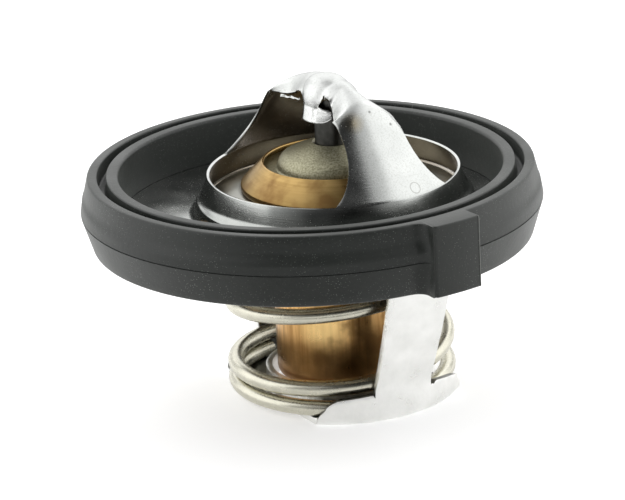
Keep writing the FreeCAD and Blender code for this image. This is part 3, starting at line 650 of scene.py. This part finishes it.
# %% [markdown]
# ## The frame: flange, collar and bridge from one sheet
# One press tool makes this whole piece. It is modelled as the outer skin of the sheet, which then
# gets its 0.9 mm wall from a Solidify modifier and broken edges from a Bevel. The skin is a polar
# grid for the flange and collar. In two places the grid goes on past the rim, up a cone that
# narrows to a shoulder, over a sloping strip, and into a hood that is drawn like a thimble over the
# pin. It could be sculpted, but a few rules for width and height keep every part of it smooth and
# easy to change: each point is on the lower one of the cone and the roof, with a soft bend between.

# %% Sizes of the bridge
SHOULDER, CONE_RISE, BEND = 10.4, 1.373, 0.38
ARM_HALF, FLARE = 4.7, 4.0
FOOT_HALF = ARM_HALF + FLARE
STRAIGHT_END = math.sqrt(RIM_RADIUS ** 2 - FOOT_HALF ** 2) - FLARE
HOOD, FAR_HOOD, HOOD_RISE, SPRING_LINE = 3.68, 3.0, 3.65, 41.8
CREST = RIM + 13.25
STRIP_WIDTHS = [(0.0, 2.9), (5.2, 2.9), (6.0, 2.95), (6.8, 3.15), (7.6, 3.6), (8.4, 4.25),
                (9.1, 4.7), (9.7, 4.85), (10.4, 4.75)]
TORN_WIDTHS = [(0.0, 2.9), (3.2, 2.75), (4.5, 2.5), (5.2, 2.8), (6.0, 3.15), (6.8, 3.6),
               (7.6, 4.0), (8.4, 4.45), (9.1, 4.75), (9.7, 4.85), (10.4, 4.75)]


# %% How wide the bridge is
def smooth(low, high, value):
    """A smooth step from 0 to 1."""
    share = min(max((value - low) / (high - low), 0.0), 1.0)
    return share * share * (3 - 2 * share)


def half_width(reach, table=STRIP_WIDTHS, hood=HOOD):
    """Half of the bridge's width at a distance from the pin's axis."""
    if reach <= SHOULDER:
        strip = between(table, reach)
        dome = math.sqrt(max(hood ** 2 - reach ** 2, 0))
        return (strip + dome + math.hypot(strip - dome, 0.3)) / 2
    low, high = 0.0, math.pi / 2
    if reach <= math.hypot(STRAIGHT_END, ARM_HALF):
        return ARM_HALF
    for _ in range(40):
        middle = (low + high) / 2
        along = STRAIGHT_END + FLARE * math.sin(middle)
        across = FOOT_HALF - FLARE * math.cos(middle)
        low, high = (middle, high) if math.hypot(along, across) < reach else (low, middle)
    return FOOT_HALF - FLARE * math.cos(low)


# %% How high the hood stands, and how its points are spread
def hood_height(along, across):
    """Height of the drawn hood: a thimble round the pin, fuller on the near side."""
    side = smooth(-1.4, 1.4, across)
    power, radius = 3.0 - 0.8 * side, HOOD + (FAR_HOOD - HOOD) * side
    reach = math.hypot(along, across) / radius
    if reach >= 1:
        return SPRING_LINE - 12 * radius * (reach - 1)
    return SPRING_LINE + HOOD_RISE * (1 - reach ** power) ** (1 / power)


def fuller(share):
    """Spread the shares of the width evenly over the thimble's rounded section."""
    angle = share * math.pi / 2
    return math.sin(angle) / (abs(math.sin(angle)) ** 3 + math.cos(angle) ** 3) ** (1 / 3)


# %% A point of the bridge
def bridge_point(reach, share, front):
    """A point of the bridge's skin: distance from the axis, and share of the width (-1 to 1)."""
    torn_side = front and share < 0
    half = half_width(reach, TORN_WIDTHS if torn_side else STRIP_WIDTHS,
                      HOOD if share < 0 else FAR_HOOD)
    spread = 1 - smooth(1.2, 5.0, reach)
    across = half * (share + (fuller(share) - share) * spread)
    if reach >= SHOULDER:
        angle = share * math.asin(half / reach)
        along, across = reach * math.cos(angle), reach * math.sin(angle)
    else:
        curl = smooth(8.2, SHOULDER, reach)
        along = reach - curl * (reach - math.sqrt(max(reach ** 2 - across ** 2, 0)))
    cone = RIM + (RIM_RADIUS - math.hypot(along, across)) * CONE_RISE
    fall = (math.hypot(along - 3.6, 1) + along - 3.6) / 2
    ridge = CREST - (0.315 if front else 0.34) * fall
    # The strip arches over its width, and its two sides were not drawn alike.
    arch = 2.4 - 0.75 * smooth(6.0, 9.5, reach) + 0.85 * (1 - smooth(1.4, 3.2, reach))
    if share > 0:
        arch += 0.7 * (1 - smooth(4.5, 7.0, reach))
        arch += 1.5 * smooth(5.5, 9.3, reach) if front else 0
    else:
        arch += 0.04 * fall if front else -0.35 * smooth(7.0, 9.5, reach)
    strip = ridge - arch * share ** 2
    if share < 0:  # torn edge beside the hood
        ragged = 0.85 + 0.14 * math.sin(11 * reach) + 0.08 * math.sin(27 * reach)
        torn = smooth(2.2, 2.9, reach) * (1 - smooth(3.9, 4.7, reach))
        strip += torn * ragged * (1 if front else 0.3) * share ** 6
    hood = hood_height(along, across)
    roof = (strip + hood + math.hypot(strip - hood, 0.18)) / 2
    lower = min(cone, roof)
    bend = math.exp((lower - cone) / BEND) + math.exp((lower - roof) / BEND)
    return along, across, lower - BEND * math.log(bend)


# %% Directions round the valve, and the collar's section
shares = [step / 14 for step in range(-14, 15)]
foot_angle = math.asin(FOOT_HALF / RIM_RADIUS)
free_steps = 84
cross_angles = [share * foot_angle for share in shares]
cross_angles += [foot_angle + (math.pi - 2 * foot_angle) * step / free_steps
                 for step in range(1, free_steps)]
collar_angles = cross_angles + [angle + math.pi for angle in cross_angles]
collar = rounded([(RIM_RADIUS, RIM), (18.42, 28.75, 1.6), (19.15, 28.2, 0.6),
                  (19.72, FLANGE_TOP, 0.85), (23.0, FLANGE_TOP)], closed=False, steps=6)
collar = collar[:1] + [collar[0].lerp(collar[1], share) for share in (0.06, 0.35, 0.7)] + \
    collar[1:-1]
print("collar: %d points up, %d directions" % (len(collar), len(collar_angles)))

# %% Places on the frame
def frame_vertex(bm, along, across, height):
    """A vertex from the bridge's own directions, along and across the arms."""
    x = VALVE_X + along * math.cos(ARM_ANGLE) - across * math.sin(ARM_ANGLE)
    y = along * math.sin(ARM_ANGLE) + across * math.cos(ARM_ANGLE)
    return bm.verts.new((x * MM, y * MM, height * MM))


def flange_reach(angle):
    """Distance from the valve's axis to the flange's edge, which is round the seal's axis."""
    x, y = math.cos(angle + ARM_ANGLE), math.sin(angle + ARM_ANGLE)
    return -VALVE_X * x + math.sqrt(FLANGE_RADIUS ** 2 - (VALVE_X * y) ** 2)


# %% Lay the skin of the flange, the collar and the bridge
bm = bmesh.new()
rows = []
for angle in collar_angles:
    column = [(p.x, p.y) for p in collar]
    edge = flange_reach(angle)
    column += [(collar[-1].x + (edge - collar[-1].x) * step / 5, FLANGE_TOP)
               for step in range(1, 6)]
    rows.append([frame_vertex(bm, r * math.cos(angle), r * math.sin(angle), z)
                 for r, z in column])
skin(bm, rows, loop_along=True)

cone_reaches = [RIM_RADIUS, 17.3, 17.0, 16.6, 16.1, 15.5, 14.8, 14.0, 13.2, 12.5, 12.0, 11.6,
                11.3, 11.05, 10.85, 10.7, 10.55]
strip_reaches = [10.4 - 0.2 * step for step in range(13)] + [
    7.85 - 0.15 * step for step in range(38)]
hood_reaches = [2.0, 1.75, 1.5, 1.25, 1.0, 0.75, 0.5, 0.25]
bridge_rows = []
for way in (1, -1):
    half_rows = []
    for reach in cone_reaches + strip_reaches + hood_reaches:
        points = [bridge_point(reach, share, way > 0) for share in shares]
        half_rows.append([frame_vertex(bm, way * a, w, z) for a, w, z in points])
    bridge_rows.append(half_rows)
middle = [frame_vertex(bm, *bridge_point(0.0, share, True)) for share in shares]
other = list(reversed(bridge_rows[1]))
skin(bm, bridge_rows[0] + [middle] + other)
print("frame skin: %d faces" % len(bm.faces))

# %% [markdown]
# ### The hood's flaps
# On both sides of the strip the hood comes down over the pin in a short flap, wider at its end
# than at its root and slightly flared. Each flap is one more grid, which starts on the bridge's own
# edge, so the sheet stays whole.

# %% Flaps that hang from the hood
FLAP_HALF, FLAP_DROP = 3.2, 2.4
FLAP_TURN = math.asin(FLAP_HALF / HOOD)
FLAP_SPREAD = FLAP_TURN / math.asin(hood_reaches[0] / HOOD)
hood_alongs = hood_reaches + [0.0] + [-reach for reach in reversed(hood_reaches)]
for side in (1, -1):
    flap_rows = []
    for depth in (0.0, 0.06, 0.14, 0.24, 0.36, 0.5, 0.65, 0.8, 0.92, 1.0):
        row = []
        for along in hood_alongs:
            spread = 1 + (FLAP_SPREAD - 1) * smooth(0.02, 0.45, depth)
            angle = math.asin(along / HOOD) * spread
            corner = abs(angle / FLAP_TURN) ** 5
            _, root_across, root = bridge_point(abs(along), side, along > 0)
            round_share = smooth(0.0, 0.4, depth)
            flared = HOOD if side < 0 else FAR_HOOD
            flared += 0.06 * smooth(0, 0.3, depth) + 0.26 * depth ** 2
            hang = flared * math.cos(angle)
            across = side * (abs(root_across) + (hang - abs(root_across)) * round_share)
            reach = along + (flared * math.sin(angle) - along) * round_share
            height = root + (SPRING_LINE - FLAP_DROP + 0.7 * corner - root) * depth
            row.append(frame_vertex(bm, reach, across, height))
        flap_rows.append(row)
    skin(bm, flap_rows)
print("with flaps: %d faces" % len(bm.faces))

# %% [markdown]
# ### Wall thickness
# Sheet gets thinner where it is drawn furthest. A vertex group tells the Solidify modifier how
# thick the wall is: full on the flange, less than half on the bridge, and more again on the crown.
# Under the edge of the rear strip hangs a thin torn burr.

# %% The wall's thickness, and a torn burr under the rear strip
bmesh.ops.remove_doubles(bm, verts=bm.verts, dist=2e-6)
thickness = bm.verts.layers.deform.verify()
for vertex in bm.verts:
    height = vertex.co.z / MM
    vertex[thickness][0] = 1 - 0.6 * smooth(28.6, 31.6, height) + 0.5 * smooth(42.8, 44.8, height)
burr_rows = [[], []]
for step in range(41):
    share = step / 40
    reach = 7.5 - 4.2 * share
    low = 41.0 + 0.46 * share ** 1.5 + 0.05 * math.sin(19 * share)
    tall = 0.30 - 0.12 * share + 0.08 * math.sin(13 * share + 1)
    across = -half_width(reach) + 0.02
    burr_rows[0].append(frame_vertex(bm, -reach, across, low + tall))
    burr_rows[1].append(frame_vertex(bm, -reach, across - 0.10, low))
skin(bm, burr_rows)
for vertex in burr_rows[0] + burr_rows[1]:
    vertex[thickness][0] = 0.2
bmesh.ops.recalc_face_normals(bm, faces=bm.faces)
bm.faces.ensure_lookup_table()
if bm.faces[len(collar) + 2].normal.z < 0:
    bmesh.ops.reverse_faces(bm, faces=bm.faces)
stamping = add_piece("stamped_frame", bm, frame_steel, "upper_frame", "frame",
                     sharp=60, closed=False)
stamping.vertex_groups.new(name="wall")

# %% Thicken the sheet
def sheet_metal(piece, wall, edge, offset):
    """Give a skin its wall and slightly broken edges."""
    solid = piece.modifiers.new("wall", "SOLIDIFY")
    solid.thickness = wall * MM
    solid.offset = offset
    solid.use_even_offset = True
    bevel = piece.modifiers.new("broken edges", "BEVEL")
    bevel.width = edge * MM
    bevel.segments = 2
    bevel.limit_method = "ANGLE"
    bevel.angle_limit = math.radians(55)


sheet_metal(stamping, SHEET, 0.14, -1)
stamping.modifiers["wall"].vertex_group = "wall"
print("modifiers:", [modifier.name for modifier in stamping.modifiers])

# %% [markdown]
# ## The cage
# A strip of tinned steel makes the cage: a foot with a drawn collar that guides the cup, two
# upturned ends, and a leg from the middle of each end to the flange. Like the frame, it is a skin
# that is thickened, here its middle one. Columns of the grid run from the guide collar outward over
# the foot and up the end walls, and only the columns of the legs go on to the flange. The real
# strip isn't quite even: the tops of its end walls slope, and its legs bow a little.

# %% The cage's sizes and the places of its columns
FOOT_HALF_WIDTH, FOOT_RADIUS, FOOT_BEND = 11.2, 16.55, 0.9
LEG_ROOT, LEG_TOP_HALF, NOTCH = 4.35, 4.75, 1.1
LEG_START, LEG_BEND, LEG_RISE, LEG_RUN = 4.9, 1.2, 20.3, 6.05
LEG_SLOPE = LEG_RUN / LEG_RISE * 1.062  # the bend at its root takes about 6% of the rise
TENON_HALF, TENON_REACH = 3.0, FOOT_RADIUS + LEG_RUN
FOOT_LEVEL, BEND_TOP, WALL_TOP = 0.45, 1.35, 3.8
bm = bmesh.new()
guide = rounded([(10.2, 3.6), (10.2, FOOT_LEVEL, 0.9), (13.0, FOOT_LEVEL)],
                closed=False, steps=5)[:-1]
leg_places = [LEG_ROOT * step / 7 for step in range(8)]
notch_places = [LEG_ROOT + NOTCH * step / 4 for step in range(1, 5)]
wall_start = LEG_ROOT + NOTCH
wall_places = [wall_start + (FOOT_HALF_WIDTH - wall_start) * step / 8 for step in range(1, 9)]
half_places = leg_places + notch_places + wall_places
end_places = [-place for place in reversed(half_places[1:])] + half_places
corner = math.asin(FOOT_HALF_WIDTH / (FOOT_RADIUS - FOOT_BEND))
side_angles = [corner + (math.pi - 2 * corner) * step / 26 for step in range(1, 26)]
wall_profile = rounded([(FOOT_RADIUS - FOOT_BEND, FOOT_LEVEL),
                        (FOOT_RADIUS, FOOT_LEVEL, FOOT_BEND * 0.999),
                        (FOOT_RADIUS, WALL_TOP)], closed=False, steps=5)[1:-1]
for share in (0.25, 0.5, 0.75, 1.0):
    wall_profile.append(Vector((FOOT_RADIUS, BEND_TOP + (WALL_TOP - BEND_TOP) * share)))
print("cage: %d columns on each end, %d on each side" % (len(end_places), len(side_angles)))

# %% Columns of the foot and the end walls
def cage_column(bm, way, place):
    """The vertices of one column, from the guide collar to the top of the end wall."""
    inner = FOOT_RADIUS - FOOT_BEND
    edge = Vector((math.sqrt(inner ** 2 - place ** 2), place))
    column = [(edge.normalized() * p.x, p.y) for p in guide]
    start = column[-1][0]
    column += [(start.lerp(edge, share), FOOT_LEVEL) for share in (0.25, 0.5, 0.75, 1.0)]
    for point in wall_profile:
        rise = smooth(1.0, WALL_TOP, point.y)
        across = place
        if abs(place) > wall_start:
            narrowed = wall_start + (abs(place) - wall_start) * (1 - 0.17 * rise)
            across = math.copysign(narrowed, place)
        height = point.y
        if abs(place) > LEG_ROOT and height > BEND_TOP:
            share = (abs(place) - LEG_ROOT) / (FOOT_HALF_WIDTH - LEG_ROOT)
            right_side = place * way > 0
            top = 4.3 - (1.0 if right_side else 0.6) * share
            top -= (0.2 if right_side else 0.85) * max(0, (share - 0.7) / 0.3) ** 2
            if right_side:
                top -= 0.5 * math.exp(-((share - 0.07) / 0.05) ** 2)
            height = BEND_TOP + (height - BEND_TOP) * (top - BEND_TOP) / (WALL_TOP - BEND_TOP)
        along = math.sqrt(point.x ** 2 - across ** 2)
        column.append((Vector((along, across)), height))
    return [frame_vertex(bm, way * p.x, way * p.y, z) for p, z in column]


def side_column(bm, way, angle):
    """The vertices of a column that ends at the foot's straight side."""
    direction = Vector((math.cos(angle), math.sin(angle)))
    column = [(direction * p.x, p.y) for p in guide]
    edge = direction * (FOOT_HALF_WIDTH / math.sin(angle))
    start = column[-1][0]
    column += [(start.lerp(edge, share), FOOT_LEVEL) for share in (0.25, 0.5, 0.75, 1.0)]
    return [frame_vertex(bm, way * p.x, way * p.y, z) for p, z in column]


# %% Build the cage with its legs and tenons
plate_count = len(guide) + 4
plate_rows = []
for way in (1, -1):
    ends = [cage_column(bm, way, place) for place in end_places]
    skin(bm, [column[plate_count - 1:] for column in ends])
    plate_rows += [column[:plate_count] for column in ends]
    plate_rows += [side_column(bm, way, angle) for angle in side_angles]
    leg_columns = [-place for place in reversed(leg_places[1:])] + leg_places
    leg_rows = []
    for level in (WALL_TOP, 4.4, 5.0, 5.8, 6.8, 8.0, 10.0, 13.0, 16.0, 19.0, 22.0, 25.2):
        spread = 1 + (LEG_TOP_HALF / LEG_ROOT - 1) * smooth(WALL_TOP, 22.0, level)
        lean = LEG_SLOPE * (math.hypot(max(level - LEG_START, 0), LEG_BEND) - LEG_BEND)
        curl = 1 - smooth(WALL_TOP, 8.0, level)
        row = []
        for place in leg_columns:
            across = place * spread + 0.42 * smooth(4, 15, level) * (1 - smooth(21, 25, level))
            fall = FOOT_RADIUS - math.sqrt(FOOT_RADIUS ** 2 - across ** 2)
            row.append(frame_vertex(bm, way * (FOOT_RADIUS + lean - curl * fall), way * across,
                                    level))
        leg_rows.append(row)
    skin(bm, leg_rows)
    tenon_rows = []
    for level in (25.2, 25.9, 26.7):
        places = [place * LEG_TOP_HALF / LEG_ROOT for place in leg_columns]
        tenon_rows.append([frame_vertex(bm, way * TENON_REACH, way * place, level)
                           for place in places if abs(place) < TENON_HALF])
    skin(bm, tenon_rows)
skin(bm, plate_rows, loop_along=True)
bmesh.ops.remove_doubles(bm, verts=bm.verts, dist=2e-5)
bmesh.ops.recalc_face_normals(bm, faces=bm.faces)
cage = add_piece("tinned_cage", bm, tin, "lower_cage", "frame", sharp=60,
                 closed=False)
sheet_metal(cage, SHEET, 0.12, 0)

# %% [markdown]
# ## The spring
# A coil spring follows a rule: the wire's angle grows evenly, and its height follows the pitch,
# small over the closed end coils and large between them. That is a job for Geometry Nodes: a line
# of points is bent into the coil, and a circle is swept along it. A curve in the tree holds the
# pitch, so the coils can be opened or closed without touching the rest.

# %% Inputs of the tree that winds a spring
winder = bpy.data.node_groups.new("spring winder", "GeometryNodeTree")
for label, kind, value in (("Mean radius", "NodeSocketFloat", 14.8 * MM),
                           ("Wire radius", "NodeSocketFloat", 1.12 * MM),
                           ("Foot height", "NodeSocketFloat", 2.02 * MM),
                           ("Top height", "NodeSocketFloat", 26.8 * MM),
                           ("Turns", "NodeSocketFloat", 4.18),
                           ("Start angle", "NodeSocketFloat", math.radians(-90 + 360 * 0.62)),
                           ("Centre", "NodeSocketFloat", VALVE_X * MM),
                           ("Finish", "NodeSocketMaterial", None)):
    socket = winder.interface.new_socket(label, in_out="INPUT", socket_type=kind)
    if value is not None:
        socket.default_value = value
winder.interface.new_socket("Mesh", in_out="OUTPUT", socket_type="NodeSocketGeometry")
given, result = winder.nodes.new("NodeGroupInput"), winder.nodes.new("NodeGroupOutput")
print("spring inputs:", [item.name for item in winder.interface.items_tree])

# %% Bend a line into the coil
line = node(winder, "GeometryNodeCurvePrimitiveLine")
points = node(winder, "GeometryNodeResampleCurve", {"Curve": line.outputs[0], "Count": 560})
along = node(winder, "GeometryNodeSplineParameter").outputs["Factor"]
pitch_law = node(winder, "ShaderNodeFloatCurve", {"Value": along})
law = pitch_law.mapping.curves[0].points
for factor, rise in ((0.10, 0.0), (0.15, 0.035), (0.20, 0.07), (0.24, 0.094), (0.28, 0.100),
                     (0.32, 0.114), (0.36, 0.165), (0.40, 0.245), (0.45, 0.335), (0.57, 0.56),
                     (0.69, 0.765), (0.75, 0.86), (0.81, 0.935), (0.87, 0.978), (0.93, 0.997)):
    law.new(factor, rise)
pitch_law.mapping.update()
turn = maths(winder, "MULTIPLY", along, maths(winder, "MULTIPLY", given.outputs["Turns"],
                                              2 * math.pi))
angle = maths(winder, "ADD", turn, given.outputs["Start angle"])
across = maths(winder, "MULTIPLY", maths(winder, "COSINE", angle), given.outputs["Mean radius"])
depth = maths(winder, "MULTIPLY", maths(winder, "SINE", angle), given.outputs["Mean radius"])
span = maths(winder, "SUBTRACT", given.outputs["Top height"], given.outputs["Foot height"])
height = maths(winder, "ADD", given.outputs["Foot height"],
               maths(winder, "MULTIPLY", pitch_law.outputs[0], span))
beside = maths(winder, "ADD", across, given.outputs["Centre"])
centred = node(winder, "ShaderNodeCombineXYZ", {0: beside, 1: depth, 2: height})
bent = node(winder, "GeometryNodeSetPosition", {"Geometry": points.outputs[0],
                                                "Position": centred.outputs[0]})

# %% Sweep the wire's section along it
ring = node(winder, "GeometryNodeCurvePrimitiveCircle", {"Resolution": 20,
                                                         "Radius": given.outputs["Wire radius"]})
swept = node(winder, "GeometryNodeCurveToMesh", {"Curve": bent.outputs[0],
                                                 "Profile Curve": ring.outputs[0],
                                                 "Fill Caps": True})
real = node(winder, "GeometryNodeRealizeInstances", {0: swept.outputs[0]})
finished = node(winder, "GeometryNodeSetMaterial", {"Geometry": real.outputs[0],
                                                    "Material": given.outputs["Finish"]})
winder.links.new(finished.outputs[0], result.inputs[0])
print("spring tree: %d nodes" % len(winder.nodes))

# %% Wind the spring and keep it as a plain mesh
seed = bpy.data.objects.new("spring_seed", bpy.data.meshes.new("spring_seed"))
bpy.context.scene.collection.objects.link(seed)
winding = seed.modifiers.new("winding", "NODES")
winding.node_group = winder
sockets = {item.name: item.identifier for item in winder.interface.items_tree}
winding[sockets["Finish"]] = wire_steel
bpy.context.view_layer.update()
evaluated = seed.evaluated_get(bpy.context.evaluated_depsgraph_get())
coil = bpy.data.meshes.new_from_object(evaluated)
bpy.data.objects.remove(seed)
coil.shade_smooth()
coil.set_sharp_from_angle(angle=math.radians(50))
if not coil.materials:
    coil.materials.append(wire_steel)
spring = bpy.data.objects.new("wound_spring", coil)
bpy.context.scene.collection.objects.link(spring)
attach(spring, "frame")
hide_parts("main_spring")
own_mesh(spring)
print("spring: %d faces" % len(coil.polygons))

# %% [markdown]
# ## The wax element
# The element is a brass cup whose wide head is crimped inward over a domed guide. The pin comes out
# of the guide and pushes against the hood. All of them are turned or drawn round the valve's axis,
# so each is a rounded outline turned round it. Solids joined from cylinders and cones would do too,
# but their edges would need rounding afterwards.

# %% Sizes that its pieces share
CUP_RADIUS, CUP_WALL, CUP_FOOT = 9.0, 1.2, 2.2
CUP_BORE, CUP_FLOOR = CUP_RADIUS - CUP_WALL, CUP_FOOT + CUP_WALL
HEAD_RADIUS, HEAD_LOW, HEAD_FLOOR, CRIMP_TOP = 12.88, 29.4, 30.4, 33.32
PIN_RADIUS, PIN_FOOT, PIN_TOP = 2.35, 8.5, 44.45
GUIDE_BORE = PIN_RADIUS + 0.06
print("wax element: head %.1f mm wide, pin %.1f mm long"
      % (2 * HEAD_RADIUS, PIN_TOP - PIN_FOOT))

# %% The drawn cup with its crimped head
bm = bmesh.new()
turned(bm, rounded([(0, CUP_FOOT), (CUP_RADIUS, CUP_FOOT, 1.5), (CUP_RADIUS, HEAD_LOW, 0.3),
                    (HEAD_RADIUS, HEAD_LOW, 0.35), (HEAD_RADIUS, 30.25, 0.35),
                    (9.85, CRIMP_TOP, 0.22), (9.2, CRIMP_TOP, 0.22), (12.2, HEAD_FLOOR),
                    (CUP_BORE, HEAD_FLOOR), (CUP_BORE, CUP_FLOOR), (0, CUP_FLOOR)]),
       segments=200)
add_piece("drawn_cup", bm, brass, "wax_cup", "valve")

# %% The domed guide
bm = bmesh.new()
turned(bm, rounded([(GUIDE_BORE, 32.0), (5.2, 32.0), (5.2, 31.4), (11.1, 31.4),
                    (10.35, 32.2, 0.1), (7.7, 32.25, 0.35), (7.7, 33.9, 2.0),
                    (2.7, 35.86, 0.25), (GUIDE_BORE, 35.6)]), segments=160)
add_piece("domed_guide", bm, bronze, "rod_guide", "valve")

# %% The ground pin
bm = bmesh.new()
turned(bm, rounded([(0, PIN_FOOT), (1.5, PIN_FOOT, 0.3), (PIN_RADIUS, 14.5, 2.0),
                    (PIN_RADIUS, PIN_TOP, 2.1), (0, PIN_TOP)]), segments=96)
add_piece("ground_pin", bm, pin_steel, "piston_pin", "frame")

# %% [markdown]
# ### The valve disc
# The disc is pressed from sheet and sits under the element's head. Its rim slopes down and closes
# against the collar's bead, so only its upper side shows, deep in the shadow of the collar.

# %% The pressed disc
DISC_SHEET = 0.8
DISC_LOW = HEAD_LOW - DISC_SHEET
bm = bmesh.new()
turned(bm, rounded([(CUP_RADIUS, DISC_LOW), (13.3, DISC_LOW, 0.8), (17.55, 27.4, 0.15),
                    (17.6, 28.2, 0.3), (13.3, HEAD_LOW, 1.2), (CUP_RADIUS, HEAD_LOW)]),
       segments=200)
add_piece("pressed_disc", bm, disc_steel, "valve_disc", "valve")

# %% [markdown]
# ### The bleed pin
# A small brass pin hangs loose in a hole of the flange. Its head lies on the flange and lets air
# pass, and its foot is thicker than its neck, so it can't fall out. It turns round its own axis.

# %% The bleed pin, loose in the flange
BLEED_X, BLEED_Y, NECK_RADIUS, BLEED_HEAD = -18.4, -4.9, 0.75, 1.4
bm = bmesh.new()
turned(bm, rounded([(0, 21.3), (1.35, 21.3, 1.2), (1.35, 23.95, 0.3), (NECK_RADIUS, 24.05, 0.1),
                    (NECK_RADIUS, FLANGE_TOP), (BLEED_HEAD, FLANGE_TOP, 0.1),
                    (BLEED_HEAD, 26.75, 0.4), (0, 27.2)]), x=BLEED_X, y=BLEED_Y, segments=48)
add_piece("turned_bleed_pin", bm, brass, "bleed_pin", "bleeder")

# %% [markdown]
# ## Pieces that stay as they came
# Boot, backup washer and wax are sealed in the cup. Their exact solids are kept, and only get
# their finish.

# %% Finish the sealed pieces
for name, material in (("rubber_boot", rubber), ("backup_washer", white_washer),
                       ("wax_charge", wax)):
    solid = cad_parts[name]
    solid.data.materials.clear()
    solid.data.materials.append(material)
print("kept:", "rubber_boot, backup_washer, wax_charge")

# %% [markdown]
# ## Floor, backdrop and light
# The photograph is a product shot on white. The floor is plain and pale, and keeps the object's
# shadow. What polished metal mirrors matters as much as what lights it. So the floor has one dark
# strip in front of the object that only reflections see: it keeps the front of the collar dark.

# %% Floor
FLOOR_HALF = 1.5
floor_mesh = bpy.data.meshes.new("floor")
bm = bmesh.new()
bmesh.ops.create_grid(bm, x_segments=1, y_segments=1, size=FLOOR_HALF)
bm.to_mesh(floor_mesh)
bm.free()
floor = bpy.data.objects.new("floor", floor_mesh)
bpy.context.scene.collection.objects.link(floor)
floor_paint, tree, shader = finish("floor white", 0.0, 0.8)
path = node(tree, "ShaderNodeLightPath")
place = node(tree, "ShaderNodeTexCoord").outputs["Object"]
ahead = node(tree, "ShaderNodeSeparateXYZ", {0: place})
forward = rising(tree, ahead.outputs[1], 0, -200)
shade = ramp(tree, forward, [(0.18, 0.0), (0.27, 1.0), (0.36, 1.0), (0.46, 0.0)])
mirrored = path.outputs["Is Glossy Ray"]
tree.links.new(mixed(tree, maths(tree, "MULTIPLY", shade, mirrored), (0.85, 0.85, 0.85),
                     (0.16, 0.16, 0.15)), shader.inputs["Base Color"])
shader.inputs["Emission Color"].default_value = (1, 1, 1, 1)
lifted = maths(tree, "MULTIPLY", maths(tree, "SUBTRACT", 1.0, shade),
               maths(tree, "MULTIPLY", mirrored, 0.45))
tree.links.new(maths(tree, "ADD", maths(tree, "MULTIPLY", path.outputs["Is Camera Ray"], 0.48),
                     lifted), shader.inputs["Emission Strength"])
floor_mesh.materials.append(floor_paint)
print("floor: %.1f m wide" % (2 * FLOOR_HALF))

# %% [markdown]
# ### The room
# The camera sees plain white. Reflections see a room: bright towards the sides and the back, dark
# low down in front, and dimmer straight above. One round dark patch stands high in front, a little
# to the right, and its mirror image is the dark band down the front arm. Soft lamps stand left,
# right and behind.

# %% World
world = bpy.data.worlds.new("studio")
world.use_nodes = True
bpy.context.scene.world = world
tree = world.node_tree
background = tree.nodes["Background"]
direction = node(tree, "ShaderNodeTexCoord").outputs["Generated"]
parts = node(tree, "ShaderNodeSeparateXYZ", {0: direction})
level = parts.outputs[2]
ahead = maths(tree, "MULTIPLY", parts.outputs[1], -1.0)
open_room = ramp(tree, ahead, [(0.25, 0.86), (0.60, 0.60)])
dark_room = ramp(tree, ahead, [(0.25, 0.86), (0.60, 0.56), (0.90, 0.06)])
band = ramp(tree, level, [(0.06, 0.0), (0.16, 1.0), (0.36, 1.0), (0.46, 0.0)])
room = mixed(tree, band, open_room, dark_room)
ceiling = ramp(tree, level, [(0.50, 1.0), (0.85, 0.80), (1.0, 0.62)])
DARK_PATCH = (0.254, -0.698, 0.669)
shade = ramp(tree, dot(tree, direction, DARK_PATCH), [(0.822, 1.0), (0.872, 0.06)])
dimmed = mixed(tree, 1.0, ceiling, shade, blend="MULTIPLY")
studio = mixed(tree, 1.0, room, dimmed, blend="MULTIPLY")
path = node(tree, "ShaderNodeLightPath")
tree.links.new(mixed(tree, path.outputs["Is Camera Ray"], studio, (1.0, 1.0, 1.0)),
               background.inputs["Color"])
background.inputs["Strength"].default_value = 1.0
print("world: %d nodes" % len(tree.nodes))

# %% Soft lamps
def softbox(name, place, aim, size, power):
    """A rectangular soft lamp that looks at a point; places in millimetres."""
    data = bpy.data.lights.new(name, "AREA")
    data.shape = "RECTANGLE"
    data.size, data.size_y = size[0] * MM, size[1] * MM
    data.energy = power
    lamp = bpy.data.objects.new(name, data)
    lamp.location = Vector(place) * MM
    lamp.rotation_euler = (Vector(aim) - Vector(place)).to_track_quat("-Z", "Y").to_euler()
    bpy.context.scene.collection.objects.link(lamp)


softbox("left box", (-430, 40, 300), (0, 0, 25), (760, 760), 1.35)
softbox("right box", (430, 60, 300), (0, 0, 25), (760, 760), 1.35)
softbox("back box", (20, 450, 400), (0, 0, 25), (800, 600), 1.1)
bpy.context.scene.view_settings.view_transform = "Standard"
print("lamps:", [item.name for item in bpy.data.lights])
